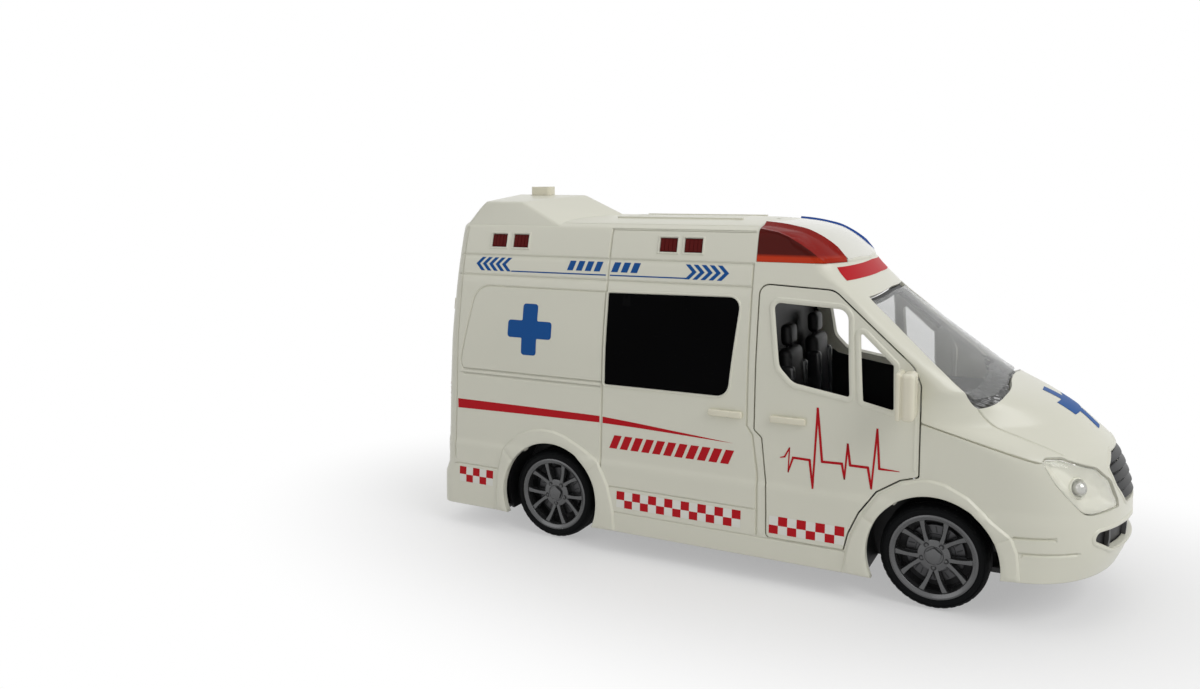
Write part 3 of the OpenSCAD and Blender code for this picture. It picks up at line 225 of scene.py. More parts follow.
# Outlines
def outline(rows, n=6):
    """A polygon of rows [x, y, radius] with its corners rounded."""
    p = np.array([r[:2] for r in rows], float)
    out = []
    for k, row in enumerate(rows):
        b, r = p[k], row[2]
        u, w = p[k - 1] - b, p[(k + 1) % len(p)] - b
        u, w = u / np.linalg.norm(u), w / np.linalg.norm(w)
        if r == 0:
            out.append(b)
            continue
        half = math.acos(max(-1, min(1, float(u @ w)))) / 2
        mid = b + (u + w) / np.linalg.norm(u + w) * r / math.sin(half)
        first = b + u * r / math.tan(half) - mid
        sweep = (math.pi - 2 * half) * (-1 if u[0] * w[1] - u[1] * w[0] > 0 else 1)
        for i in range(n + 1):
            c, s = math.cos(sweep * i / n), math.sin(sweep * i / n)
            out.append(mid + [first[0] * c - first[1] * s, first[0] * s + first[1] * c])
    return np.array(out)


def grown(p, d):
    """A clockwise outline moved out by d."""
    u = p - np.roll(p, 1, 0)
    w = np.roll(p, -1, 0) - p
    u /= np.linalg.norm(u, axis=1)[:, None]
    w /= np.linalg.norm(w, axis=1)[:, None]
    n1, n2 = np.stack([-u[:, 1], u[:, 0]], 1), np.stack([-w[:, 1], w[:, 0]], 1)
    m = n1 + n2
    m /= np.linalg.norm(m, axis=1)[:, None]
    return p + m * d / np.maximum(0.5, (m * n1).sum(1))[:, None]


def dense(points, step=1.5, closed=True):
    """The outline with more points, none further apart than step."""
    points = np.asarray(points, float)
    ends = np.roll(points, -1, 0) if closed else points[1:]
    out = []
    for a, b in zip(points, ends):
        n = max(1, int(math.ceil(np.linalg.norm(b - a) / step)))
        out += [a + (b - a) * k / n for k in range(n)]
    if not closed:
        out.append(points[-1])
    return np.array(out)


def inside(q, poly):
    x, y = q[:, 0:1], q[:, 1:2]
    x0, y0 = poly[:, 0], poly[:, 1]
    x1, y1 = np.roll(x0, -1), np.roll(y0, -1)
    with np.errstate(divide="ignore", invalid="ignore"):
        cross = ((y0 > y) != (y1 > y)) & (x < (x1 - x0) * (y - y0) / (y1 - y0) + x0)
    return cross.sum(1) % 2 == 1


def segment_distance(q, lines):
    """The distance of each point from the nearest of several polylines."""
    best = np.full(len(q), 1e9)
    for line in lines:
        a, b = line[:-1], line[1:]
        ab = b - a
        length = np.maximum(1e-12, (ab ** 2).sum(1))
        for k in range(0, len(q), 4000):
            d = q[k:k + 4000, None] - a[None]
            t = np.clip((d * ab).sum(2) / length, 0, 1)
            d -= t[..., None] * ab
            best[k:k + 4000] = np.minimum(best[k:k + 4000], np.sqrt((d ** 2).sum(2)).min(1))
    return best


def closed(p):
    return np.concatenate([p, p[:1]])


def beside(line, d):
    """A polyline moved sideways by d."""
    t = np.gradient(line, axis=0)
    t /= np.maximum(1e-9, np.linalg.norm(t, axis=1))[:, None]
    return line + np.stack([-t[:, 1], t[:, 0]], 1) * d


def fill(outer, holes=(), lines=(), step=2.0):
    """Triangles inside an outline and outside its holes, with edges along the lines."""
    loops = [outer, *holes]
    low, high = outer.min(0), outer.max(0)
    gx, gy = np.meshgrid(np.arange(low[0] + step / 2, high[0], step),
                         np.arange(low[1] + step / 2, high[1], step))
    grid = np.stack([gx.ravel(), gy.ravel()], 1)
    grid = grid[inside(grid, outer)]
    for hole in holes:
        grid = grid[~inside(grid, hole)]
    grid = grid[segment_distance(grid, [closed(p) for p in loops] + list(lines)) > 0.45 * step]
    points, edges = [], []
    for p in loops:
        n = len(points)
        points += list(p)
        edges += [(n + k, n + (k + 1) % len(p)) for k in range(len(p))]
    for p in lines:
        n = len(points)
        points += list(p)
        edges += [(n + k, n + k + 1) for k in range(len(p) - 1)]
    points += list(grid)
    out = delaunay_2d_cdt([Vector(p) for p in points], edges, [], 0, 1e-4)
    q = np.array([tuple(p) for p in out[0]])
    tris = np.array([f for f in out[2] if len(f) == 3])
    mid = q[tris].mean(1)
    keep = inside(mid, outer)
    for hole in holes:
        keep &= ~inside(mid, hole)
    tris = tris[keep]
    used = np.unique(tris)
    index = np.full(len(q), -1)
    index[used] = np.arange(len(used))
    return q[used], index[tris]


# Materials
def node(nodes, kind, **values):
    """A shader node with some of its inputs set; an underscore stands for a space."""
    made = nodes.new("ShaderNode" + kind)
    for name, value in values.items():
        made.inputs[name.replace("_", " ")].default_value = value
    return made


def material(name, color, rough=0.4, metal=0.0, coat=0.0, bump=0.0, grain=900, vary=0.03, rough_vary=0.05,
             bevel=0.0, transmission=0.0, ior=1.5, specular=0.5):
    """A surface whose colour and gloss vary a little, with a fine grain and round edges where given."""
    m = bpy.data.materials.new(name)
    m.use_nodes = True
    nodes, links = m.node_tree.nodes, m.node_tree.links
    bsdf = nodes["Principled BSDF"]
    coord = node(nodes, "TexCoord")
    broad = node(nodes, "TexNoise", Scale=28, Detail=4)
    links.new(coord.outputs["Object"], broad.inputs["Vector"])
    tint = node(nodes, "ValToRGB")
    ends = tint.color_ramp.elements
    ends[0].position = 0.3
    ends[1].position = 0.7
    ends[0].color = (*[max(0, c * (1 - vary)) for c in color], 1)
    ends[1].color = (*[min(1, c * (1 + vary)) for c in color], 1)
    links.new(broad.outputs["Fac"], tint.inputs["Fac"])
    links.new(tint.outputs["Color"], bsdf.inputs["Base Color"])
    span = node(nodes, "MapRange", From_Min=0.3, From_Max=0.7, To_Min=max(0.02, rough - rough_vary),
                To_Max=min(1, rough + rough_vary))
    links.new(broad.outputs["Fac"], span.inputs["Value"])
    links.new(span.outputs["Result"], bsdf.inputs["Roughness"])
    normal = None
    if bevel:
        edge = node(nodes, "Bevel", Radius=bevel)
        edge.samples = 4
        normal = edge.outputs["Normal"]
    if bump:
        fine = node(nodes, "TexNoise", Scale=grain, Detail=3)
        links.new(coord.outputs["Object"], fine.inputs["Vector"])
        grainy = node(nodes, "Bump", Strength=bump, Distance=0.0002)
        links.new(fine.outputs["Fac"], grainy.inputs["Height"])
        if normal:
            links.new(normal, grainy.inputs["Normal"])
        normal = grainy.outputs["Normal"]
    if normal:
        links.new(normal, bsdf.inputs["Normal"])
    for socket, value in (("Metallic", metal), ("Coat Weight", coat), ("Coat Roughness", 0.08), ("IOR", ior),
                          ("Transmission Weight", transmission), ("Specular IOR Level", specular)):
        bsdf.inputs[socket].default_value = value
    return m


CREAM = material("cream_shell", (0.79, 0.782, 0.665), 0.36, coat=0.12, bump=0.03, grain=1400, vary=0.012,
                 bevel=0.0005)
TRIM = material("cream_trim", (0.84, 0.80, 0.64), 0.25, coat=0.3, bump=0.02, vary=0.015, bevel=0.0004)
BLACK = material("black_moulding", (0.012, 0.012, 0.013), 0.38, bump=0.08, grain=1600, vary=0.15)
CABIN = material("cabin_black", (0.009, 0.009, 0.010), 0.45, bump=0.12, grain=1300, vary=0.2, bevel=0.0004,
                 specular=0.25)
LEATHER = material("seat_bolster", (0.03, 0.031, 0.034), 0.22, coat=0.3, bump=0.1, grain=1100, vary=0.2)
RUBBER = material("tyre_rubber", (0.006, 0.0065, 0.007), 0.6, bump=0.22, grain=1500, vary=0.2, rough_vary=0.1,
                  specular=0.06)
GUNMETAL = material("rim_gunmetal", (0.095, 0.096, 0.098), 0.26, metal=0.8, coat=0.4, bump=0.03, grain=2200,
                    vary=0.06, bevel=0.0003)
DISC = material("brake_disc", (0.075, 0.075, 0.078), 0.34, metal=0.7, bump=0.08, grain=1800, vary=0.12)
# Near black that paints the shade in recesses: grille and intake backs, lug pits, disc slots, wheel backs
PAINTED_SHADE_BLACK = material("deep_black", (0.006, 0.006, 0.007), 0.5, bump=0.05, vary=0.2)
PANE = material("black_pane", (0.0012, 0.0012, 0.0014), 0.12, vary=0.2, rough_vary=0.03, specular=0.02)
SMOKE = material("smoke_pane", (0.66, 0.665, 0.66), 0.05, transmission=0.8, vary=0.06, rough_vary=0.02,
                 ior=1.05)
CLEAR = material("clear_lens", (0.97, 0.97, 0.95), 0.04, transmission=1.0, vary=0.02, rough_vary=0.02,
                 ior=1.3)
PEARL = material("pearl_reflector", (0.78, 0.775, 0.69), 0.22, metal=0.12, coat=0.5, bump=0.02, vary=0.05)
CHROME = material("bulb_bowl", (0.55, 0.55, 0.54), 0.14, metal=0.85, vary=0.05)
GRILLE = material("grille_grey", (0.02, 0.021, 0.022), 0.3, bump=0.05, vary=0.12, bevel=0.0002, specular=0.12)
INTAKE = material("intake_grey", (0.09, 0.09, 0.092), 0.4, bump=0.06, vary=0.12)
RED_INK = material("red_print", (0.52, 0.007, 0.014), 0.45, bump=0.02, vary=0.03, specular=0.15)
BLUE_INK = material("blue_print", (0.008, 0.088, 0.32), 0.45, bump=0.02, vary=0.03, specular=0.15)
WHITE_INK = material("white_print", (0.84, 0.835, 0.77), 0.4, vary=0.02)
STEEL = material("plain_steel", (0.55, 0.56, 0.58), 0.28, metal=1.0, bump=0.03, grain=2500, vary=0.05)
NYLON = material("nylon_gear", (0.84, 0.84, 0.79), 0.42, bump=0.03, vary=0.02)
BRASS = material("brass_pinion", (0.70, 0.50, 0.18), 0.27, metal=1.0, vary=0.05)
WRAP = material("cell_wrap", (0.55, 0.33, 0.07), 0.25, coat=0.4, vary=0.05)
BOARD = material("circuit_board", (0.02, 0.13, 0.05), 0.35, bump=0.1, grain=600, vary=0.15)
LED = material("led_clear", (0.88, 0.84, 0.70), 0.12, coat=0.5, vary=0.02)
FOIL = material("cowl_foil", (0.16, 0.16, 0.16), 0.22, metal=0.6, bump=0.5, grain=420, vary=0.35,
                rough_vary=0.12)
ROOF_WHITE = material("roof_insert", (0.81, 0.805, 0.72), 0.2, coat=0.3, vary=0.012)
MARKER = material("marker_red", (0.12, 0.005, 0.004), 0.18, specular=0.06, bump=0.15, grain=700, vary=0.2)
TAILRED = material("tail_red", (0.38, 0.010, 0.010), 0.14, coat=0.6, vary=0.1)


# Heights in metres between which the light-bar lens changes colour: a painted glow, brightest at the lower
# edge
PAINTED_GLOW_LOW, PAINTED_GLOW_TOP = 0.1175, 0.1315


def painted_glow_lens(name, low, mid, top):
    """A tinted lens with a painted glow of light running down its wall, brighter at its lower edge."""
    m = material(name, mid, 0.07, vary=0.08, rough_vary=0.02, specular=0.07)
    nodes, links = m.node_tree.nodes, m.node_tree.links
    coord = node(nodes, "TexCoord")
    split = node(nodes, "SeparateXYZ")
    links.new(coord.outputs["Object"], split.inputs["Vector"])
    span = node(nodes, "MapRange", From_Min=PAINTED_GLOW_LOW, From_Max=PAINTED_GLOW_TOP)
    links.new(split.outputs["Z"], span.inputs["Value"])
    ramp = node(nodes, "ValToRGB")
    e = ramp.color_ramp.elements
    e[0].position, e[0].color = 0.0, (*low, 1)
    e[1].position, e[1].color = 1.0, (*top, 1)
    for at, c in ((0.12, low), (0.2, mid), (0.6, mid)):
        n = e.new(at)
        n.color = (*c, 1)
    links.new(span.outputs["Result"], ramp.inputs["Fac"])
    links.new(ramp.outputs["Color"], nodes["Principled BSDF"].inputs["Base Color"])
    return m


# The lens colours hold a painted glow at the lower edge; the top facets get lighter copies of the same
# plastic, painted light from above
RED_LENS = painted_glow_lens("red_lens", (0.62, 0.045, 0.010), (0.10, 0.006, 0.003), (0.14, 0.008, 0.005))
RED_LENS_PAINTED_LIT_TOP = painted_glow_lens("red_lens_top", (0.45, 0.03, 0.012), (0.30, 0.012, 0.008), (0.26, 0.012, 0.008))
BLUE_LENS = painted_glow_lens("blue_lens", (0.05, 0.16, 0.62), (0.012, 0.04, 0.20), (0.03, 0.08, 0.30))
BLUE_LENS_PAINTED_LIT_TOP = painted_glow_lens("blue_lens_top", (0.05, 0.16, 0.62), (0.03, 0.09, 0.36), (0.03, 0.09, 0.36))


# Objects
def add(name, verts, faces, mat, body=VEHICLE, slot=None, smooth=32, thick=0.0, replaces=(), mirror=False,
        both=False):
    """A mesh in millimetres that rides on a body. mirror puts it on the left, both on both sides."""
    verts = np.asarray(verts, float)
    faces = [tuple(int(i) for i in f) for f in faces]
    if mirror:
        verts = verts * MIRROR
        faces = [f[::-1] for f in faces]
    if both:
        n = len(verts)
        faces = faces + [tuple(i + n for i in f[::-1]) for f in faces]
        verts = np.concatenate([verts, verts * MIRROR])
    me = bpy.data.meshes.new(name)
    me.from_pydata((verts * MM).tolist(), [], faces)
    ob = bpy.data.objects.new(name, me)
    bpy.context.collection.objects.link(ob)
    bm = bmesh.new()
    bm.from_mesh(me)
    bmesh.ops.remove_doubles(bm, verts=bm.verts, dist=2e-6)
    limit = math.radians(smooth)
    for f in bm.faces:
        f.smooth = True
    for e in bm.edges:
        e.smooth = len(e.link_faces) == 2 and e.calc_face_angle(0) < limit
    bm.to_mesh(me)
    bm.free()
    me.materials.append(mat)
    if thick:
        mod = ob.modifiers.new("wall", "SOLIDIFY")
        mod.thickness = thick * MM
        mod.offset = -1
        mod.use_even_offset = False
    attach(ob, body)
    if replaces:
        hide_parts(*replaces)
    return ob


def skin_piece(name, outer, mat, holes=(), lines=(), lift=0.0, thick=0.0, step=2.0, **k):
    q, tris = fill(outer, holes, lines, step)
    lift = lift(q) if callable(lift) else lift
    return add(name, on_skin(q, lift), tris, mat, thick=thick, **k)


def groove_lines(line, width):
    return [beside(line, -width / 2), line, beside(line, width / 2)]


def strip_faces(rows, n, ring=False, turn=False):
    """Four-sided faces between rows of n points each; turn makes them look the other way."""
    out = []
    for i in range(rows - 1):
        for t in range(n if ring else n - 1):
            a, b, u = i * n, (i + 1) * n, (t + 1) % n
            out.append((a + t, a + u, b + u, b + t) if turn else (a + t, b + t, b + u, a + u))
    return out


def lathe(profile, centre, segments=96, wave=None):
    """A ring of rows [radius, y] round an axis along Y."""
    profile = np.asarray(profile, float)
    n = len(profile)
    a = np.linspace(0, 2 * np.pi, segments, endpoint=False)
    verts, faces = [], []
    for k in range(segments):
        for i, (r, y) in enumerate(profile):
            rr = r + (wave(k, i) if wave else 0)
            verts.append((centre[0] + rr * math.cos(a[k]), centre[1] + y, centre[2] + rr * math.sin(a[k])))
    for k in range(segments):
        m = (k + 1) % segments
        for i in range(n - 1):
            faces.append((k * n + i, k * n + i + 1, m * n + i + 1, m * n + i))
    return verts, faces


def merge(*parts):
    verts, faces = [], []
    for v, f in parts:
        n = len(verts)
        verts += [tuple(p) for p in v]
        faces += [tuple(i + n for i in g) for g in f]
    return verts, faces


def prism(points, low, high, axis=1):
    """A polygon pushed from low to high along an axis (0, 1 or 2)."""
    p = np.asarray(points, float)
    n = len(p)
    put = {0: lambda a, b, t: (t, a, b), 1: lambda a, b, t: (a, t, b), 2: lambda a, b, t: (a, b, t)}[axis]
    verts = [put(a, b, low) for a, b in p] + [put(a, b, high) for a, b in p]
    faces = [tuple(range(n))[::-1], tuple(range(n, 2 * n))]
    faces += [(k, (k + 1) % n, n + (k + 1) % n, n + k) for k in range(n)]
    return verts, faces


def mesh_lists(bm):
    """The points and faces of a bmesh, which is freed."""
    bm.verts.index_update()
    lists = [tuple(v.co) for v in bm.verts], [[v.index for v in f.verts] for f in bm.faces]
    bm.free()
    return lists


def rounded_box(low, high, r, taper=None):
    """A box with round edges, its points moved by taper where given."""
    low, high = np.asarray(low, float), np.asarray(high, float)
    bm = bmesh.new()
    bmesh.ops.create_cube(bm, size=1)
    for v in bm.verts:
        v.co = Vector((low + high) / 2 + np.array(v.co) * (high - low))
    bmesh.ops.bevel(bm, geom=bm.edges[:] + bm.verts[:], offset=r, segments=4, affect="EDGES", profile=0.5)
    if taper:
        long = [e for e in bm.edges if e.calc_length() > max(high - low) / 4]
        bmesh.ops.subdivide_edges(bm, edges=long, cuts=5, use_grid_fill=True)
    pts, faces = mesh_lists(bm)
    return (taper(np.array(pts)) if taper else pts), faces


def tube(points, r, sides=10):
    """A round rod along a polyline."""
    p = np.asarray(points, float)
    t = np.gradient(p, axis=0)
    t /= np.linalg.norm(t, axis=1)[:, None]
    up = np.array([0, 0, 1.0]) if abs(t[0, 2]) < 0.9 else np.array([1.0, 0, 0])
    verts = []
    for k in range(len(p)):
        a = np.cross(t[k], up)
        a /= np.linalg.norm(a)
        b = np.cross(t[k], a)
        for i in range(sides):
            w = 2 * math.pi * i / sides
            verts.append(p[k] + r * (math.cos(w) * a + math.sin(w) * b))
    faces = strip_faces(len(p), sides, ring=True, turn=True)
    faces += [tuple(range(sides))[::-1], tuple(range((len(p) - 1) * sides, len(p) * sides))]
    return [tuple(v) for v in verts], faces


# Openings of the shell, in the views they were measured in
DOOR = outline([
    [9.5, 109.2, 3.5], [37, 108, 7], [65.5, 83.5, 6], [68, 77.5, 3], [68, 46.4, 0.6], [62, 44.6, 0],
    [54, 39.5, 0], [48, 31.2, 0], [44.5, 23.5, 0], [43, 17.3, 0.6], [15, 17.3, 1.5], [14.6, 36, 10],
    [12.5, 53.5, 2], [9.5, 56, 1.5]])
DOOR_WINDOW = outline([[15.2, 102.9, 2], [42.4, 101.6, 4], [44, 71.3, 0.8], [23.5, 74.6, 6], [18.3, 80, 5]])
QUARTER = outline([[47.2, 94.2, 0.5], [58.9, 83.5, 0.8], [59.3, 68.2, 0.6], [48.8, 70.4, 0.6]])
SIDE_WINDOW = outline([[-53.6, 103.2, 0.6], [2.2, 104, 4], [-1.6, 66.9, 5], [-53.6, 66.9, 0.6]])
HEADLIGHT = outline([[105.4, 56.9, 1.2], [111.6, 56.7, 5], [121.8, 52.4, 4], [126.2, 47.6, 6],
                     [129.3, 38.6, 1.0], [119.3, 37.9, 6], [110.2, 48.8, 10]], 8)
HEADLIGHT_IN_Y = 20.8


def softened(points, rounds=2):
    """An open line with its corners cut round after round."""
    p = np.asarray(points, float)
    for _ in range(rounds):
        a, b = p[:-1], p[1:]
        cut = np.stack([a * 0.75 + b * 0.25, a * 0.25 + b * 0.75], 1).reshape(-1, 2)
        p = np.concatenate([p[:1], cut, p[-1:]])
    return p.tolist()


WINDSHIELD_EDGE = [[-28.6, 105.6], [-31.8, 96.5]] + softened(
    [[-34.2, 90.6], [-36.2, 85.2], [-37.4, 79.6], [-37.3, 76.0], [-36.3, 73.0], [-35.7, 70.2], [-34.2, 70.4],
     [-32.0, 71.2], [-28.0, 72.7], [-23.1, 73.9], [-8, 75.6]])
WINDSHIELD = np.array([[0, 106.5]] + [[-y, z] for y, z in WINDSHIELD_EDGE] + [[0, 75.9]]
                      + WINDSHIELD_EDGE[::-1])
GRILLE_FORM = outline([[-12, 54.6, 3], [12, 54.6, 3], [20, 51, 1.2], [19.6, 45.6, 3], [15, 38.8, 2.5],
                       [-15, 38.8, 2.5], [-19.6, 45.6, 3], [-20, 51, 1.2]])
INTAKE_FORM = outline([[-31.6, 32.2, 1.6], [31.6, 32.2, 1.6], [33, 29.6, 1.4], [24.5, 25.2, 4],
                       [-24.5, 25.2, 4], [-33, 29.6, 1.4]])
REAR_PANE = outline([[-29, 101, 4], [-4, 102, 3], [-4, 70, 3], [-32, 70, 4]])
TAIL_LAMP = outline([[-39.5, 62, 1.5], [-33.5, 62, 1.5], [-33.5, 41, 1.5], [-40.2, 41, 1.5]])
MARKERS = [(-112, 119.9), (-101.2, 119.9), (-33, 119.9), (-22.5, 119.9)]
MARKER_SIZE = (7.5, 5.5)
LENS_REAR_X, LENS_LOW_Z, LENS_INNER_Y = 7.0, 117.3, 22.5


def lens_outline(gap):
    """The light-bar lens on the unrolled skin: its lower, inner and rear edges."""
    low, side = LENS_LOW_Z + gap, -LENS_INNER_Y - gap
    rear_s = float(from_side([(LENS_REAR_X + gap, low)])[0, 0])
    bottom = [(s, v_of(low)) for s in np.linspace(rear_s, s_at_y(side, low), 40)]
    inner, rear = [], []
    for v in np.linspace(v_of(low), V_KNOTS[-1], 400)[1:]:
        z = z_of(v)
        s_in, s_rear = s_at_y(side, z), s_at_x(LENS_REAR_X + gap, z)
        if skin_row(z)[:, 1].min() > side or s_in <= s_rear:
            break
        inner.append((s_in, v))
        rear.append((s_rear, v))
    return np.array(bottom + inner[::4] + rear[::-4])[::-1]


def box_outline(x, z, w, h, gap=0.0):
    return dense([[x + gap, z + h - gap], [x + w - gap, z + h - gap], [x + w - gap, z + gap],
                  [x + gap, z + gap]], 2)


def arc(cx, r, a0, a1, n=48):
    a = np.radians(np.linspace(a0, a1, n))
    return np.stack([cx + r * np.cos(a), AXLE_Z + r * np.sin(a)], 1)


def half_front(points):
    return from_front(dense(points, 1.5))


def lamp_form(gap):
    """The headlight on the unrolled skin, kept away from the grille."""
    p = from_side(dense(grown(HEADLIGHT, -gap), 0.8))
    limit = from_front([(-HEADLIGHT_IN_Y - gap, z_of(v)) for v in p[:, 1]])[:, 0]
    p[:, 0] = np.minimum(p[:, 0], limit)
    keep = np.linalg.norm(p - np.roll(p, 1, 0), axis=1) > 0.05
    return p[keep]


# Body shell
ARCH_FOOT = 19.94
low_angle = math.degrees(math.asin((SILL_Z - AXLE_Z) / ARCH_R))
nose_angle = math.degrees(math.asin((BUMPER_Z - AXLE_Z) / ARCH_R))
side_edge = np.concatenate([
    dense([[S_REAR, SILL_Z], [REAR_AXLE_X - ARCH_FOOT, SILL_Z]], 2, False)[:-1],
    arc(REAR_AXLE_X, ARCH_R, 180 - low_angle, low_angle),
    dense([[REAR_AXLE_X + ARCH_FOOT, SILL_Z], [FRONT_AXLE_X - ARCH_FOOT, SILL_Z]], 2, False)[1:-1],
    arc(FRONT_AXLE_X, ARCH_R, 180 - low_angle, nose_angle)])
lower = from_side(side_edge)
tail_edge = np.stack([np.linspace(S_TAIL, S_REAR, 31)[:-1], np.zeros(30)], 1)
nose_edge = np.stack([np.linspace(lower[-1, 0], S_NOSE, 50)[1:], np.full(49, v_of(BUMPER_Z))], 1)
up_edge = np.stack([np.full(80, S_NOSE), np.linspace(v_of(BUMPER_Z), V_KNOTS[-1], 81)[1:]], 1)
top_edge = np.stack([np.linspace(S_NOSE, S_TAIL, 181)[1:], np.full(180, V_KNOTS[-1])], 1)
down_edge = np.stack([np.full(85, S_TAIL), np.linspace(V_KNOTS[-1], 0, 87)[1:-1]], 1)
shell_outer = np.concatenate([tail_edge, lower, nose_edge, up_edge, top_edge, down_edge])
shell_holes = [
    from_side(dense(grown(DOOR, DOOR_GAP))), from_side(dense(SIDE_WINDOW)), lamp_form(0.0),
    half_front(WINDSHIELD), half_front(GRILLE_FORM), half_front(INTAKE_FORM),
    from_rear(dense(REAR_PANE)), from_rear(dense(TAIL_LAMP)), lens_outline(0.0),
    *[from_side(box_outline(x, z, *MARKER_SIZE)) for x, z in MARKERS]]


def side_line(points, step=1.5):
    return from_side(dense(points, step, closed=False))


quarter_arc = outline([[-54.5, 103.4, 0], [-117.5, 103.4, 8], [-123.9, 70, 0]])[1:-1]
quarter_panel = np.concatenate(
    [[[-54.5, 103.4]], quarter_arc, [[-123.7, 71], [-122.5, 67.8], [-54.5, 67.8]]])
GROOVES = [
    (side_line([[-126, 116.5], [6.3, 116.5]]), 0.99, 0.52),
    (side_line([[-54.5, 128.5], [LENS_REAR_X - 1.4, 128.5]]), 1.0, 0.5),
    (side_line([[-78, 130.2], [LENS_REAR_X - 1.4, 130.2]]), 0.9, 0.4),
    (side_line([[-126, 108], [6.3, 108]]), 1.1, 0.6),
    (side_line([[-54.5, 17], [-54.5, 128.5]]), 1.2, 0.75),
    (side_line([[6.3, 116.4], [6.3, 57], [8.6, 54], [10.8, 40], [11.0, 17.5]]), 1.2, 0.75),
    (side_line(quarter_panel), 0.99, 0.52),
    (side_line([[-122, 65.9], [-55.2, 65.9]]), 0.88, 0.45),
    (side_line([[-125.4, 128], [-125.4, 30]]), 0.88, 0.52),
    (side_line([[-50, 26.6], [10.4, 26.6]]), 0.77, 0.45),
    (side_line([[-124, 26.6], [-103, 26.6]]), 0.77, 0.45),
    (side_line([[-49, 16.6], [44, 16.6]]), 0.88, 0.38),
    (side_line([[68.8, 64.6], [104.6, 55.4]]), 1.4, 0.9),
    (side_line([[98.6, 30.6], [110.5, 31.1]]), 1.2, 0.8),
    (side_line([[101.6, 25.6], [117, 25.9]]), 1.2, 0.7),
]
# A shallow lower side that catches the light under the level lines
for x0, x1, z in ((-125, 6, 116.5), (-125, 6, 108), (-121, -55.4, 67.8), (-121, -55.4, 65.9),
                  (-54, LENS_REAR_X - 1.6, 128.5)):
    GROOVES.append((side_line([[x0, z - 0.55], [x1, z - 0.55]]), 1.9, 0.34))
hood_line = from_front(dense([[-35.4, 69.6], [-35.2, 66], [-34.6, 61], [-33.4, 57.2]], 1, False))
GROOVES.append((hood_line, 1.3, 0.4))
# Rear doors, plate panel and bumper step
for path, width, depth in (
        ([[-0.6, 108], [-31, 108], [-33.2, 98], [-34.3, 68], [-32.0, 64], [-32.0, 36], [-0.6, 36]], 1.0, 0.5),
        ([[-0.6, 53], [-13, 53], [-13, 42], [-0.6, 42]], 0.8, 0.35), ([[-0.6, 29.5], [-41, 29.5]], 1.0, 0.5)):
    GROOVES.append((from_rear(dense(path, 1.5, False)), width, depth))
seam_rows = np.linspace(v_of(129.2), V_KNOTS[-1] - 0.5, 40)
roof_seam = [(s_at_x(LENS_REAR_X - 0.6, z_of(v)), v) for v in seam_rows
             if skin_row(z_of(v))[:, 0].max() > LENS_REAR_X]
GROOVES.append((np.array(roof_seam), 0.9, 0.3))
lens_end = s_at_y(-LENS_INNER_Y, LENS_LOW_Z)
GROOVES.append((np.array([(t, v_of(LENS_LOW_Z)) for t in np.linspace(lens_end, S_NOSE - 0.6, 40)]), 0.9, 0.3))
LEDGE_Z = (36.0, 36.8)
LEDGES = [side_line([[-125, z], [92, z]]) for z in LEDGE_Z]
SHELL_LINES = LEDGES + [p for line, width, depth in GROOVES for p in groove_lines(line, width)]
q, tris = fill(shell_outer, shell_holes, SHELL_LINES, 2.0)
sink = np.zeros(len(q))
for line, width, depth in GROOVES:
    sink = np.maximum(sink, depth * np.clip(1 - segment_distance(q, [line]) / (width / 2), 0, 1))
verts = on_skin(q, -sink)
for middle_s in (S_NOSE, S_TAIL):
    verts[np.abs(q[:, 0] - middle_s) < 1e-6, 1] = 0
top = np.nonzero(np.abs(q[:, 1] - V_KNOTS[-1]) < 1e-6)[0]
top = top[np.argsort(q[top, 0])]
n = len(verts)
all_verts = np.concatenate([verts, verts * MIRROR])
all_faces = [tuple(f) for f in tris] + [tuple(int(i) + n for i in f[::-1]) for f in tris]
all_faces += [(top[k], top[k + 1], top[k + 1] + n, top[k] + n) for k in range(len(top) - 1)]
add("body_shell_skin", all_verts, all_faces, CREAM, slot="shell_cream", smooth=28, thick=WALL,
    replaces=["body_shell"])

# Wheel-arch lips: their outer edges run in straight lengths down to the sill
FRONT_FLARE = [[42.6, 9], [43.9, 17.2], [45.5, 23.2], [49.0, 30.8], [54.8, 38.8], [62.5, 43.8], [68.7, 45.7],
               [72, 46.1], [76.9, 45.4], [84.5, 41.8], [92.1, 35.1], [98.3, 30.6], [100.2, 25.5], [101, 16]]
REAR_FLARE = [[-104.4, 9], [-103.6, 26], [-100.8, 36.2], [-94.6, 41.8], [-88.5, 44.8], [-82.3, 46],
              [-76.5, 45.8], [-71.3, 44.5], [-63.5, 40.9], [-55.2, 36.2], [-50.6, 27.1], [-48, 17.4],
              [-47.4, 9]]
FLARE_STEPS = {"front": [([49.0, 30.8], [54.5, 27.4]), ([98.3, 30.6], [92.6, 27.6])],
               "rear": [([-55.2, 36.2], [-59.6, 31.6]), ([-100.8, 36.2], [-96.4, 31.6])]}
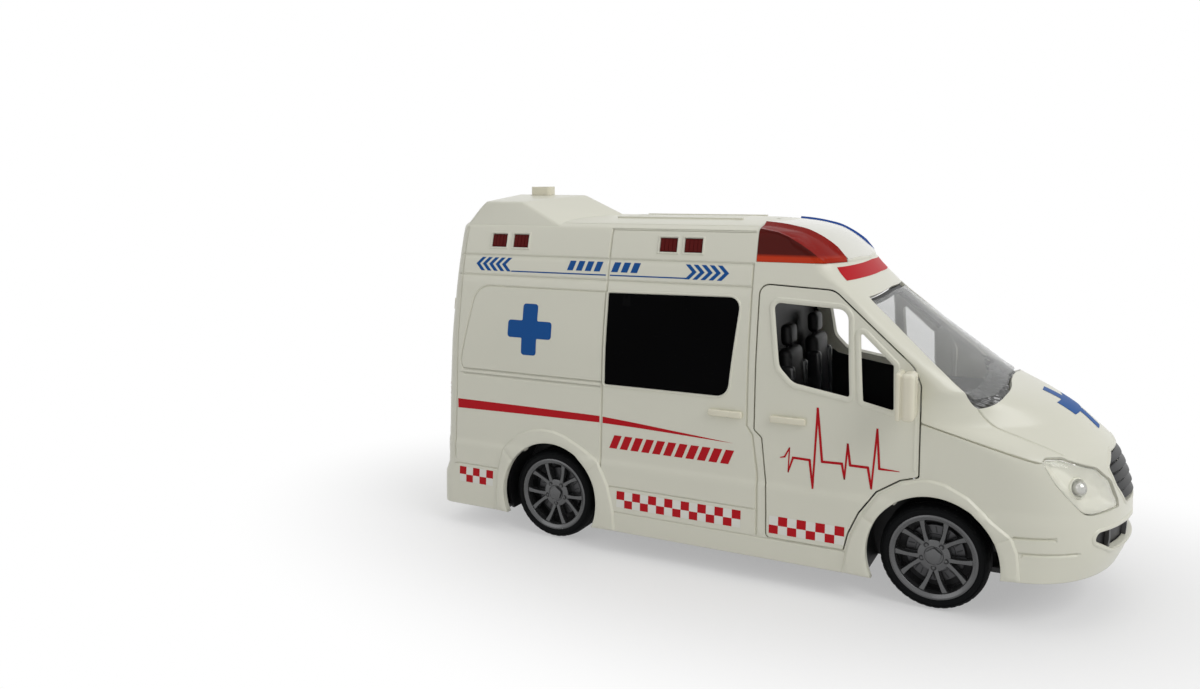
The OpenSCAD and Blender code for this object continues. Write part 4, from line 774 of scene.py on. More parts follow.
for axle_x, name, edge, stop in (
        (REAR_AXLE_X, "rear", REAR_FLARE, low_angle), (FRONT_AXLE_X, "front", FRONT_FLARE, nose_angle)):
    outer_edge = dense(edge, 1.2, False)
    inner_edge = arc(axle_x, ARCH_R, stop, 180 - low_angle, 70)
    ring = from_side(np.concatenate([outer_edge, inner_edge]))
    path = [np.asarray(edge, float)]
    steps = [np.array(p, float) for p in FLARE_STEPS[name]]
    inset = beside(outer_edge, -0.9)
    lines = [from_side(inset[3:-3]), from_side(arc(axle_x, ARCH_R + 0.8, 170, 10, 60)),
             *[side_line(p, 0.8) for p in steps]]

    def arch_lift(p):
        g = skin_points(p)[:, [0, 2]]
        d = segment_distance(g, path)
        inner = np.hypot(g[:, 0] - axle_x, g[:, 1] - AXLE_Z) - ARCH_R
        notch = np.clip(1 - segment_distance(g, steps) / 0.7, 0, 1)
        rise = np.interp(d, [0, 0.9, 2.5], [-0.05, 0.8, 0.9])
        return rise - 0.35 * np.clip(1 - inner / 0.8, 0, 1) - 0.45 * notch

    skin_piece("arch_lip_" + name, ring, CREAM, lines=lines, lift=arch_lift, thick=2.2, step=1.2, both=True,
               slot="shell_cream")


def frame_ring(name, forms, inner, outer, lift):
    """A raised frame round openings of the side."""
    parts = []
    for form in forms:
        a, b = grown(form, inner), grown(form, outer)
        rows = [(a, -0.4), (a * 0.8 + b * 0.2, lift), (a * 0.25 + b * 0.75, lift), (b, -0.05)]
        ring = np.concatenate([on_skin(from_side(p), h) for p, h in rows])
        parts.append((ring, strip_faces(len(rows), len(a), ring=True)))
    return add(name, *merge(*parts), CREAM, both=True, slot="shell_cream", smooth=50)


frame_ring("marker_frames", [dense(box_outline(x, z, *MARKER_SIZE), 1.5) for x, z in MARKERS], -0.05, 0.9,
           0.3)
frame_ring("side_pane_frame", [dense(SIDE_WINDOW, 1.2)], -0.05, 0.9, 0.28)

# Roof fairing and button
FAIRING_BACK = -130.3
FAIRING = [
    [0.2, 25.5, 124], [0.2, 25.5, 128.5], [4, 30.2, 124], [4, 30.2, 128.7], [11.5, 27.5, 139],
    [11.5, 0, 141.5], [30.4, 27.5, 139], [46.3, 0, 141.2], [50.8, 30.2, 129.2], [50.8, 30.2, 124],
    [67.3, 0, 131.8], [67.3, 0, 124]]
BUTTON_X, BUTTON_LEN, BUTTON_W = -106.0, 10.0, 6.0
BUTTON_LOW_Z, BUTTON_TOP_Z = 136.6, 145.0


def solid(name, verts, faces, mat, round_by=0.0, segments=3, only=None, **k):
    """A closed form with its edges rounded and its faces turned outwards."""
    bm = bmesh.new()
    made = [bm.verts.new(p) for p in verts]
    for f in faces:
        bm.faces.new([made[i] for i in f])
    bmesh.ops.remove_doubles(bm, verts=bm.verts, dist=1e-4)
    bmesh.ops.recalc_face_normals(bm, faces=bm.faces)
    if round_by:
        edges = [e for e in bm.edges if e.calc_face_angle(0) > 0.15 and (only is None or only(e))]
        bmesh.ops.bevel(bm, geom=edges, offset=round_by, segments=segments, profile=0.5, affect="EDGES",
                        clamp_overlap=True)
    return add(name, *mesh_lists(bm), mat, **k)


def hull(points):
    bm = bmesh.new()
    for p in points:
        bm.verts.new(p)
    bmesh.ops.convex_hull(bm, input=bm.verts)
    loose = [v for v in bm.verts if not v.link_faces]
    bmesh.ops.delete(bm, geom=loose, context="VERTS")
    bmesh.ops.dissolve_limit(bm, angle_limit=0.02, verts=bm.verts, edges=bm.edges)
    return mesh_lists(bm)


def cut(ob, name, verts, faces):
    """Cuts a closed form out of a piece."""
    me = bpy.data.meshes.new(name)
    me.from_pydata((np.asarray(verts, float) * MM).tolist(), [], [tuple(f) for f in faces])
    tool = bpy.data.objects.new(name, me)
    bpy.context.collection.objects.link(tool)
    bm = bmesh.new()
    bm.from_mesh(me)
    bmesh.ops.recalc_face_normals(bm, faces=bm.faces)
    bm.to_mesh(me)
    bm.free()
    mod = ob.modifiers.new("cut", "BOOLEAN")
    mod.operation = "DIFFERENCE"
    mod.solver = "EXACT"
    mod.object = tool
    deps = bpy.context.evaluated_depsgraph_get()
    new = bpy.data.meshes.new_from_object(ob.evaluated_get(deps))
    ob.modifiers.remove(mod)
    ob.data = new
    bpy.data.objects.remove(tool)


half = [(FAIRING_BACK + x, y, z) for x, y, z in FAIRING]
fairing = solid("roof_fairing", *hull(half + [(x, -y, z) for x, y, z in half]), CREAM, round_by=1.1,
                segments=4, only=lambda e: min(v.co.z for v in e.verts) > 126, slot="shell_cream", smooth=40)


def slot_form(x, y, length, width, r=1.2, n=5):
    l, w = length / 2, width / 2
    return outline([[x - l, y + w, r], [x + l, y + w, r], [x + l, y - w, r], [x - l, y - w, r]], n)


cut(fairing, "button_hole", *prism(slot_form(BUTTON_X, 0, BUTTON_LEN + 0.8, BUTTON_W + 0.8), 134.5, 150, 2))
button = prism(slot_form(BUTTON_X, 0, BUTTON_LEN, BUTTON_W, 1.6), BUTTON_LOW_Z, BUTTON_TOP_Z, 2)
solid("roof_button_cap", *button, TRIM, round_by=0.9, segments=4, body="roof_button", slot="trim_cream",
      replaces=["roof_button"], smooth=40)

# Windows, panes and lamps of the shell
skin_piece("side_pane", from_side(dense(grown(SIDE_WINDOW, -PANE_GAP), 1.5)), PANE, lift=-0.45, thick=1.2,
           step=4, both=True, slot="black_pane", replaces=["side_windows"])
skin_piece("rear_pane", from_rear(dense(grown(REAR_PANE, -PANE_GAP), 1.5)), PANE, lift=-0.4, thick=1.2,
           step=4, both=True, slot="black_pane", replaces=["rear_windows"])


def half_form(points, gap, step=1.2):
    """The right half of a form on the nose, with its edge moved in by the gap but not at the middle."""
    points = np.asarray(points, float)
    p = dense(points, step)
    g = grown(p, -gap)
    g[np.abs(p[:, 0]) < 1e-6, 0] = 0
    return from_front(g)


def right_half(form):
    """The points of a symmetrical clockwise form that lie on the right, closed along the middle."""
    f = dense(form, 1.0)
    start = next(k for k in range(len(f)) if f[k - 1][0] >= -0.01 and f[k][0] < -0.01)
    run = []
    for k in range(len(f)):
        p = f[(start + k) % len(f)]
        if p[0] >= -0.01:
            break
        run.append(p)
    return np.array([[0, run[0][1]], *run, [0, run[-1][1]]])


pane_side = [p for p in WINDSHIELD_EDGE[::-1] if 75.8 < p[1] < 104]
GLASS = np.array([[-29.0, 104.4], [0, 105.4], [0, 76.4], [-20, 75.2], [-35.0, 73.2]] + pane_side)
skin_piece("windshield_pane", half_form(GLASS, PANE_GAP), SMOKE, lift=-0.25, thick=1.0, step=3, both=True,
           slot="smoke_pane", replaces=["windshield"])
band = np.array([[-28.7, 105.4], [0, 106.3], [0, 104.4], [-28.6, 103.6], [-29.6, 102.4]])
skin_piece("windshield_top_band", half_form(band, 0.0), CABIN, lift=-1.45, thick=0.3, step=3, both=True,
           slot="black_pane")


def crinkle(p):
    g = skin_points(p)
    return -1.9 + 0.4 * np.sin(g[:, 1] * 1.9) * np.sin(g[:, 2] * 2.7 + g[:, 1] * 0.35)


cowl = np.array([[-38.2, 77.0], [-30, 77.2], [-15, 79.2], [0, 80.4], [0, 76.0], [-8, 75.7], [-25, 73.6],
                 [-32, 70.6], [-36.0, 69.6], [-37.6, 70.6], [-38.2, 75.0]])
skin_piece("windshield_cowl", half_form(cowl, 0.0), FOIL, lift=crinkle, thick=0.3, step=0.8, both=True,
           slot="black_plastic", smooth=70)

# Light bar
FOLD = [(7.6, 129.2), (14.3, 128.1), (18.6, 126.5), (23.3, 124), (27.5, 121.4), (31.5, 118.6), (32.8, 117.6)]
fold_line = from_side(dense(FOLD, 0.8, False))
lens_form = lens_outline(0.1)


def lens_lift(p):
    d = segment_distance(p, [fold_line])
    g = skin_points(p)
    ridge = 1.2 * np.clip(1 - (-LENS_INNER_Y - g[:, 1]) / 2.5, 0, 1) * np.clip((g[:, 2] - 118) / 4, 0, 1)
    return -0.12 + 0.5 * np.clip(1 - d / 3.0, 0, 1) + ridge


q, tris = fill(lens_form, lines=[fold_line], step=1.2)
lens_verts = on_skin(q, lens_lift(q))
mid = skin_points(q)[tris].mean(1)
fold_z = np.interp(mid[:, 0], [x for x, z in FOLD], [z for x, z in FOLD])
above = (mid[:, 2] > fold_z) | (mid[:, 0] > FOLD[-1][0])
# Below the fold each lens takes its own colour, above it the copy with painted light from above
for color, low_mat, painted_lit_top_mat, mirrored in (
        ("red", RED_LENS, RED_LENS_PAINTED_LIT_TOP, False), ("blue", BLUE_LENS, BLUE_LENS_PAINTED_LIT_TOP, True)):
    k = dict(mirror=mirrored, thick=1.2, slot=color + "_lens", smooth=16)
    add("lens_" + color + "_side", lens_verts, tris[~above], low_mat, replaces=["lightbar_lens_" + color],
        **k)
    add("lens_" + color + "_top", lens_verts, tris[above], painted_lit_top_mat, **k)


def join_pieces(polys, lift, step=2.0):
    parts = []
    for p in polys:
        q, t = fill(p, step=step)
        parts.append((on_skin(q, lift), t.tolist()))
    return merge(*parts)


panes = [from_side(box_outline(x, z, *MARKER_SIZE, 0.15)) for x, z in MARKERS]
add("marker_lens", *join_pieces(panes, -0.35, 1.0), MARKER, thick=1.0, both=True, slot="red_lens",
    replaces=["marker_lenses"])
cells = [from_side(box_outline(x + 0.45 + i * 1.7, z + 0.5, 1.5, MARKER_SIZE[1] - 1.0))
         for x, z in MARKERS for i in range(4)]
add("marker_cells", *join_pieces(cells, -0.15, 1.0), MARKER, thick=0.4, both=True, slot="red_lens")
skin_piece("tail_lens", from_rear(dense(grown(TAIL_LAMP, -PANE_GAP), 1)), TAILRED, lift=-0.2, thick=1.2,
           step=1.5, both=True, slot="red_lens", replaces=["tail_lights"])
ribs = [from_rear(dense([[-39.2, z + 0.9], [-34, z + 0.9], [-34, z], [-39.4, z]], 1))
        for z in np.arange(42, 61, 2.2)]
add("tail_lens_ribs", *join_pieces(ribs, 0.1, 1.0), TAILRED, thick=0.5, both=True, slot="red_lens")


def skin_lathe(at, profile, sides=40):
    """A turned form on the skin at one place: rows [radius, height above the skin]."""
    at = np.array([at], float)
    c, n = on_skin(at)[0], skin_normals(at)[0]
    a = np.cross(n, [0, 0, 1.0])
    a /= np.linalg.norm(a)
    b = np.cross(n, a)
    verts, faces = [], []
    m = len(profile)
    for k in range(sides):
        w = 2 * math.pi * k / sides
        for r, h in profile:
            verts.append(tuple(c + n * h + r * (math.cos(w) * a + math.sin(w) * b)))
    for k in range(sides):
        j = (k + 1) % sides
        faces += [(k * m + i, j * m + i, j * m + i + 1, k * m + i + 1) for i in range(m - 1)]
    return verts, faces


# Headlights: a pearly bowl, a bulb in its ring and a clear cover
BULB = from_side([(119.2, 46.9)])[0]
LAMP_EDGE = lamp_form(0.35)


def bowl(p):
    d = segment_distance(p, [closed(LAMP_EDGE)])
    near = np.linalg.norm(p - BULB, axis=1)
    return -0.9 - 2.6 * np.clip(d / 4, 0, 1) ** 0.8 - 0.8 * np.clip(1 - near / 6, 0, 1)


skin_piece("headlight_bowl", LAMP_EDGE, PEARL, lift=bowl, thick=0.4, step=0.9, both=True, slot="reflector",
           replaces=["headlight_reflectors"], smooth=60)
ring = skin_lathe(BULB, [[3.6, -4.2], [3.5, -3.5], [3.2, -3.2], [2.9, -3.4], [2.7, -3.9], [2.2, -4.2],
                         [0, -4.3]])
add("headlight_ring", *ring, PEARL, both=True, slot="reflector", smooth=50)
dome = skin_lathe(BULB, [[2.4, -4.2], [2.4, -2.9], [2.1, -2.0], [1.5, -1.4], [0.7, -1.1], [0, -1.05]])
add("headlight_bulb", *dome, CHROME, both=True, slot="reflector", smooth=60)


def cover(p):
    d = segment_distance(p, [closed(LAMP_EDGE)])
    return -0.55 + 0.4 * np.clip(d / 3, 0, 1) ** 0.7


skin_piece("headlight_cover", LAMP_EDGE, CLEAR, lift=cover, thick=0.6, step=1.2, both=True, slot="clear_lens",
           replaces=["headlight_lenses"], smooth=60)

# Grille and lower intake
GRILLE_HALF, INTAKE_HALF = right_half(GRILLE_FORM), right_half(INTAKE_FORM)
# The grille's back is painted shade, darker than its own slats
skin_piece("grille_back", half_form(GRILLE_HALF, -1.0), PAINTED_SHADE_BLACK, lift=-3.0, thick=0.6, step=2, both=True,
           slot="grey_plastic", replaces=["front_grille"])


def form_width(half, z):
    """How far a half form reaches from the middle at a height."""
    reach = [abs(a[0] + (b[0] - a[0]) * (z - a[1]) / (b[1] - a[1]))
             for a, b in zip(half[:-1], half[1:]) if (a[1] - z) * (b[1] - z) <= 0 and a[1] != b[1]]
    return max(reach) if reach else 0.0


slats = []
for k in range(5):
    z0 = 39.6 + 3.0 * k
    low = [(-y, z0 + 0.03 * y) for y in np.linspace(0, form_width(GRILLE_HALF, z0) - 0.5, 14)]
    high = [(-y, z0 + 1.9 + 0.03 * y) for y in np.linspace(form_width(GRILLE_HALF, z0 + 1.9) - 0.5, 0, 14)]
    slats.append(from_front(low + high)[::-1])
parts = []
for p in slats:
    q, t = fill(p, step=0.9)
    mid = (p[:, 1].min() + p[:, 1].max()) / 2
    wide = (p[:, 1].max() - p[:, 1].min()) / 2
    parts.append((on_skin(q, -0.75 - 0.9 * np.clip((q[:, 1] - mid) / wide, -1, 1)), t.tolist()))
add("grille_slats", *merge(*parts), GRILLE, thick=0.9, both=True, slot="grey_plastic", smooth=50)


FRONT_END = 133.0


def rim_strip(name, half, inner, outer, top):
    """A raised lip round an opening on the nose."""
    ring = half[1:-1]
    a, b = grown(ring, inner), grown(ring, outer)
    a[0, 0] = a[-1, 0] = b[0, 0] = b[-1, 0] = 0
    mid = (a + b) / 2
    rows = [on_skin(from_front(p), lift) for p, lift in (
        (a, -1.0), (a * 0.75 + b * 0.25, top), (mid, top * 1.15), (a * 0.2 + b * 0.8, top * 0.8), (b, -0.2))]
    verts = np.concatenate(rows)
    verts[:, 0] = np.minimum(verts[:, 0], FRONT_END - 0.02)
    return add(name, verts, strip_faces(len(rows), len(ring), turn=True), CREAM, both=True,
               slot="shell_cream", smooth=50)


rim_strip("grille_rim", GRILLE_HALF, -0.1, 1.2, 0.25)
rim_strip("intake_rim", INTAKE_HALF, -0.1, 1.5, 0.4)
# The intake's back is painted shade, far darker than its grey bars
skin_piece("intake_back", half_form(INTAKE_HALF, -1.0), PAINTED_SHADE_BLACK, lift=-2.4, thick=0.6, step=2, both=True,
           slot="grey_plastic", replaces=["lower_intake"])
bars = [from_front(dense([[-y - 0.5, 31.8], [-y + 0.5, 31.8], [-y + 0.5, 25.5], [-y - 0.5, 25.5]], 1))
        for y in (9, 24.8)]
add("intake_bars", *join_pieces(bars, -0.9, 1.0), INTAKE, thick=1.4, both=True, slot="grey_plastic")

# Cab doors
SIDES = (("right", False), ("left", True))
door_edge = from_side(dense(DOOR, 1.2))
door_holes = [from_side(dense(DOOR_WINDOW, 1.0)), from_side(dense(QUARTER, 1.0))]
LIP_ROWS = (0.35, 0.8, 1.7, 2.15)
lip_lines = [closed(from_side(dense(grown(w, d), 1.0))) for d in LIP_ROWS for w in (DOOR_WINDOW, QUARTER)]
DOOR_LEDGES = [side_line([[15.2, z], [50.6, z]]) for z in LEDGE_Z]


def door_lift(p):
    g = skin_points(p)[:, [0, 2]]
    d = segment_distance(g, [closed(DOOR_WINDOW), closed(QUARTER)])
    return np.interp(d, [0, 0.3, 0.8, 1.7, 2.2], [0.0, 0.1, 0.42, 0.42, 0.0])


HINGE = np.array([66.6, -42.07, 47.0])
HINGE_LEAN = math.radians(3.9)


def hinge_at(z):
    return HINGE + (z - HINGE[2]) * np.array([0, math.tan(HINGE_LEAN), 1])


pin_ends = [hinge_at(42.6), hinge_at(81.0)]
pin = [pin_ends[0] + (pin_ends[1] - pin_ends[0]) * t for t in np.linspace(0, 1, 9)]
add("hinge_pins", *tube(pin, 0.55, 14), STEEL, both=True, slot="steel", replaces=["door_hinge_pins"],
    smooth=40)

for side, mirrored in SIDES:
    body = "cab_door_" + side
    skin_piece("door_" + side, door_edge, CREAM, holes=door_holes, lines=lip_lines + DOOR_LEDGES,
               lift=door_lift, thick=2.0, step=2.0, body=body, mirror=mirrored, slot="shell_cream",
               replaces=[body], smooth=30)
    add("door_barrel_" + side, *tube([hinge_at(z) for z in np.linspace(48, 77.5, 6)], 1.15, 20), CREAM,
        body=body, mirror=mirrored, slot="shell_cream", smooth=40)

LINER = outline([[15.6, 76.5, 1], [19.4, 73.4, 2], [24, 72.4, 2], [44, 69.3, 1], [48.8, 68.4, 1],
                 [59.3, 66.2, 1], [63, 65.6, 1], [63, 50, 2], [55, 43.5, 2], [47, 36, 2], [43, 26, 2],
                 [41.5, 19.5, 1], [15.6, 19.5, 1], [14.6, 52, 1]])
for side, mirrored in SIDES:
    skin_piece("door_liner_" + side, from_side(dense(grown(LINER, -1.2), 1.5)), CABIN, lift=-2.1, thick=0.4,
               step=4, body="cab_door_" + side, mirror=mirrored, slot="black_plastic")

# A dark jamb behind the door's seam, kept clear of the hinge edge
loop = dense(DOOR, 1.2)
run = np.roll(loop, -int(np.argmax(loop[:, 0])), axis=0)
run = run[(run[:, 0] < 62.5) & (run[:, 1] > 19)]
gap_at = int(np.argmax(np.linalg.norm(np.roll(run, -1, 0) - run, axis=1)))
run = np.roll(run, -gap_at - 1, axis=0)
out = -1 if inside(beside(run, 1.0), DOOR).mean() > 0.5 else 1
rows = [beside(run, d * out) for d in (-1.0, 0.6, 2.2)]
jamb = np.concatenate([on_skin(from_side(r), -2.45) for r in rows])
add("door_jamb", jamb, strip_faces(len(rows), len(run), turn=True), CABIN, both=True, slot="black_plastic",
    smooth=60, thick=0.5)

# Front seats: cushion, leaning back with glossy side bolsters, head rest
def seat_form(y, part):
    """Soft blocks of one seat, sheared so that the back leans."""
    def lean(b):
        v, f = b
        v = np.array(v, float)
        v[:, 0] -= np.clip(v[:, 2] - SEAT_Z - 8, 0, 40) * 0.04
        return v, f
    x, z = SEAT_X, SEAT_Z
    if part == "bolster":
        side = [rounded_box([x + 2.2, y + d - 1.6, z + 8], [x + 8.6, y + d + 1.6, z + 31], 1.5)
                for d in (-8.2, 8.2)]
        side += [rounded_box([x + 5, y + d - 1.6, z + 3], [x + 21.5, y + d + 1.6, z + 9.4], 1.4)
                 for d in (-8.2, 8.2)]
        return [lean(b) for b in side]
    body = [rounded_box([x + 0.5, y - 9.2, z + 0.1], [x + 21.8, y + 9.2, z + 8], 2.0),
            rounded_box([x + 1.6, y - 8.8, z + 5], [x + 7.2, y + 8.8, z + 37], 2.4),
            rounded_box([x + 1.9, y - 4.8, z + 37.6], [x + 6.3, y + 4.8, z + 46], 2.0)]
    posts = [tube([np.array([x + 4, y + d, z + h]) for h in (35, 37, 40)], 0.5, 10) for d in (-2.6, 2.6)]
    return [lean(b) for b in body + posts]


SEAT_X, SEAT_Y, SEAT_Z = 12.0, 18.0, 46.5
add("seat_cushions", *merge(*[b for y in (-SEAT_Y, SEAT_Y) for b in seat_form(y, "body")]), CABIN,
    slot="black_plastic", replaces=["front_seats"], smooth=50)
add("seat_bolsters", *merge(*[b for y in (-SEAT_Y, SEAT_Y) for b in seat_form(y, "bolster")]), LEATHER,
    slot="black_plastic", smooth=50)

# Handles and mirrors
HANDLE_Z, HANDLE_LEN = (59.6, 62.1), 13.3


def handle_form(x):
    """A pull bar: a long rounded block with a slimmer foot at each end."""
    y = float(on_skin(from_side([(x + HANDLE_LEN / 2, 60.8)]))[0, 1])
    bar = rounded_box([x, y - 1.5, HANDLE_Z[0]], [x + HANDLE_LEN, y - 0.35, HANDLE_Z[1]], 0.5)
    feet = [rounded_box([a, y - 0.9, HANDLE_Z[0] + 0.3], [a + 2.6, y + 0.6, HANDLE_Z[1] - 0.3], 0.3)
            for a in (x + 0.5, x + HANDLE_LEN - 3.1)]
    return merge(bar, *feet)


for side, mirrored in SIDES:
    add("door_pull_" + side, *handle_form(15.5), TRIM, body="cab_door_" + side, mirror=mirrored,
        slot="trim_cream", replaces=["door_handle_" + side], smooth=40)
add("slide_pulls", *handle_form(-8.6), TRIM, both=True, slot="trim_cream", replaces=["sliding_door_handles"],
    smooth=40)


def mirror_taper(p):
    """The housing narrows a little towards its lower end."""
    t = np.clip((83.4 - p[:, 2]) / 16, 0, 1)
    q = p.copy()
    q[:, 1] = -53 + (p[:, 1] + 53) * (1 - 0.10 * t)
    return q


for side, mirrored in SIDES:
    body = "cab_door_" + side
    shellhalf = rounded_box([63.7, -53, 67.2], [68, -44, 83.4], 1.5, taper=mirror_taper)
    frame_half = rounded_box([61.85, -53, 67.2], [63.45, -44, 83.4], 0.65, taper=mirror_taper)
    core = rounded_box([62.6, -52.4, 67.8], [65, -44.6, 82.8], 0.5)
    arm = rounded_box([61.2, -45.4, 68.5], [65.4, -41.6, 74.5], 0.9)
    add("mirror_housing_" + side, *merge(shellhalf, frame_half, core, arm), TRIM, body=body, mirror=mirrored,
        slot="trim_cream", replaces=["mirror_" + side], smooth=40)
    glass = prism(outline([[-51.9, 82.3, 1.2], [-45.1, 82.3, 1.2], [-45.4, 68.3, 1.2], [-51.9, 68.3, 1.2]]),
                  61.82, 62.2, 0)
    solid("mirror_glass_" + side, *glass, CHROME, body=body, mirror=mirrored, slot="reflector")

# Wheels, drawn for the right side with t the distance from the middle plane
def turned(rows, x, segments, wave=None):
    """A ring round the wheel axis at x, of rows [radius, t]."""
    return lathe([[r, -t] for r, t in rows], (x, 0, AXLE_Z), segments, wave)


def tyre_form(x):
    rows = [[13.3, 28.2], [14.6, 27.7], [16.3, 27.6], [17.4, 28.0], [18.0, 28.9]]
    for groove in (31.6, 34.5, 37.4):
        rows += [[18.3, groove - 0.75], [17.7, groove - 0.6], [17.7, groove + 0.6], [18.3, groove + 0.75]]
    rows += [[18.0, 40.1], [17.4, 41.0], [17.0, 41.25], [16.85, 41.05], [16.4, 41.4], [15.6, 41.5],
             [15.0, 41.4], [14.85, 41.15], [14.3, 41.1], [13.5, 40.6], [13.3, 40.0]]
    shoulder = {3, 4, 17, 18}

    def wave(k, i):
        return -0.15 if i in shoulder and k % 4 == 0 else 0.0
    return turned(rows, x, 160, wave)


def spoke_form(x, lug, tilt):
    """One spoke from the hub, beside its lug, out to the rim."""
    rows = []
    for k in range(9):
        t = k / 8
        r = 4.4 + (13.0 - 4.4) * t
        a = lug + tilt * math.radians(7 + 11 * t ** 0.8)
        w = 1.75 + 0.5 * (2 * t - 1) ** 2 + 0.2 * t
        top = 39.2 + 0.9 * t ** 1.5
        c, s = math.cos(a), math.sin(a)
        rows.append([(x + r * c - e * s, -h, AXLE_Z + r * s + e * c) for e, h in (
            (-w / 2, top - 2.6), (-w / 2, top - 0.55), (-w / 2 + 0.35, top), (w / 2 - 0.35, top),
            (w / 2, top - 0.55), (w / 2, top - 2.6))])
    verts = [p for row in rows for p in row]
    faces = strip_faces(len(rows), 6, ring=True)
    return verts, faces + [tuple(range(6)), tuple(range(48, 54))[::-1]]


def rim_form(x):
    lip = turned((
        [12.2, 29.5], [13.35, 29.3], [13.35, 40.2], [13.9, 40.5], [14.85, 40.75], [14.95, 41.05],
        [14.6, 41.35], [14.1, 41.4], [13.8, 41.2], [12.95, 40.7], [12.75, 40.2], [12.5, 38.6], [12.35, 36.0],
        [12.2, 30.0], [12.2, 29.5]), x, 96)
    hub = turned((
        [5.6, 34.5], [5.75, 38.4], [5.5, 38.95], [4.9, 39.2], [3.3, 39.3], [3.1, 39.1], [0.01, 39.1]), x, 60)
    return [lip, hub]


LUGS = [math.radians(-90 + 72 * k) for k in range(5)]


def wheel_cap(x):
    """A five-sided cap over the hub."""
    p = outline([[x + 2.9 * math.cos(a + math.pi / 5), AXLE_Z + 2.9 * math.sin(a + math.pi / 5), 0.7]
                 for a in LUGS[::-1]], 5)
    return prism(p, -40.05, -39.2, 1)


def lug_parts(x):
    pits, bolts = [], []
    for a in LUGS:
        c = (x + 4.25 * math.cos(a), 0, AXLE_Z + 4.25 * math.sin(a))
        pits.append(lathe([[0.98, -39.0], [0.98, -39.27], [0.0, -39.27]], c, 20))
        bolts.append(lathe([[0.5, -39.2], [0.5, -39.5], [0.35, -39.6], [0.0, -39.6]], c, 12))
    return pits, bolts


def disc_parts(x):
    disc = turned(([5.0, 35.0], [5.0, 36.1], [6.6, 36.1], [6.8, 35.9], [9.8, 35.9], [10.0, 35.7],
                   [10.0, 34.9], [5.0, 34.9]), x, 80)
    slots = []
    for k in range(24):
        a = 2 * math.pi * (k + 0.5) / 24
        p = [(r * math.cos(a + d), r * math.sin(a + d))
             for r, d in ((7.2, 0.035), (9.4, 0.10), (9.4, 0.15), (7.2, 0.095))]
        slots.append(prism([(x + u, AXLE_Z + w) for u, w in p], -35.96, -35.5, 1))
    return disc, slots


WHEELS = [(FRONT_AXLE_X, "front_wheel_" + s, "front_", s, m) for s, m in SIDES]
WHEELS += [(REAR_AXLE_X, "rear_wheels", "rear_", s, m) for s, m in SIDES]
for x, body, end, side, mirrored in WHEELS:
    pits, bolts = lug_parts(x)
    disc, slots = disc_parts(x)
    spokes = [spoke_form(x, a, d) for a in LUGS for d in (-1, 1)]
    # The lug pits, the slots of the brake disc and a disc closing the back of the wheel take the painted
    # shade black
    well = turned(([12.3, 33.2], [12.3, 33.8], [0.01, 33.9]), x, 60)
    for name, forms, mat, slot, more in (
            ("tyre_", [tyre_form(x)], RUBBER, "tyre_rubber",
             dict(smooth=35, replaces=[end + "tyre_" + side])),
            ("rim_", rim_form(x), GUNMETAL, "rim_gunmetal", dict(smooth=35, replaces=[end + "rim_" + side])),
            ("spokes_", spokes, GUNMETAL, "rim_gunmetal", dict(smooth=35)),
            ("cap_", [wheel_cap(x)], GUNMETAL, "rim_gunmetal", dict(smooth=35, round_by=0.25)),
            ("lug_pits_", pits, PAINTED_SHADE_BLACK, "black_plastic", {}),
            ("lug_bolts_", bolts, GUNMETAL, "rim_gunmetal", {}),
            ("brake_disc_", [disc], DISC, "rim_gunmetal", dict(smooth=35)),
            ("disc_slots_", slots, PAINTED_SHADE_BLACK, "black_plastic", {}),
            ("rim_back_", [well], PAINTED_SHADE_BLACK, "black_plastic", {})):
        solid(name + end + side, *merge(*forms), mat, slot=slot, body=body, mirror=mirrored, **more)

# Printed marks
def decal(name, polys, mat, body=VEHICLE, mirrored=False, both=False, lift=0.06, step=1.6):
    """A print on the skin."""
    return add(name, *join_pieces(polys, lift, step), mat, body=body, mirror=mirrored, both=both)


def side_poly(points, step=1.2):
    """A side-view polygon on the unrolled skin, turned so that it runs clockwise."""
    p = np.asarray(points, float)
    area = (p[:, 0] * np.roll(p[:, 1], -1) - np.roll(p[:, 0], -1) * p[:, 1]).sum()
    return from_side(dense(p if area < 0 else p[::-1], step))


STRIPE_TOP = [[-124.6, 54.4], [-90, 54.35], [-55.7, 54.1], [-40, 53.1], [-24.6, 51.9], [-12, 50.95],
              [1.7, 49.9]]
STRIPE_LOW = [[-12, 50.35], [-24.5, 50.8], [-40, 51.25], [-55.6, 51.5], [-90, 51.1], [-124.4, 50.5]]
STRIPE_CUT = -54.5
rear_top, front_top = ([p for p in STRIPE_TOP if (p[0] > STRIPE_CUT) == front] for front in (False, True))
rear_low, front_low = ([p for p in STRIPE_LOW if (p[0] > STRIPE_CUT) == front] for front in (False, True))
rear_stripe = rear_top + [[STRIPE_CUT - 0.7, 54.05], [STRIPE_CUT - 0.7, 51.5]] + rear_low
front_stripe = [[STRIPE_CUT + 0.7, 54.0]] + front_top + front_low + [[STRIPE_CUT + 0.7, 51.45]]
decal("side_stripe", [side_poly(rear_stripe), side_poly(front_stripe)], RED_INK, both=True)


CHECK_ROWS = ((25.3, 22.0), (22.0, 18.9))
CHECK_STEP = 3.45


def checkers(x0, columns, start_top, red, step=CHECK_STEP):
    """Every second cell of a band: the red ones, or the white ones between them."""
    out = []
    for k in range(columns):
        for j, (top, low) in enumerate(CHECK_ROWS):
            if ((k + j) % 2 == 0) == (start_top == red):
                a, b = x0 + step * k, x0 + step * (k + 1)
                out.append(side_poly([[a, low], [a, top], [b, top], [b, low]]))
    return out


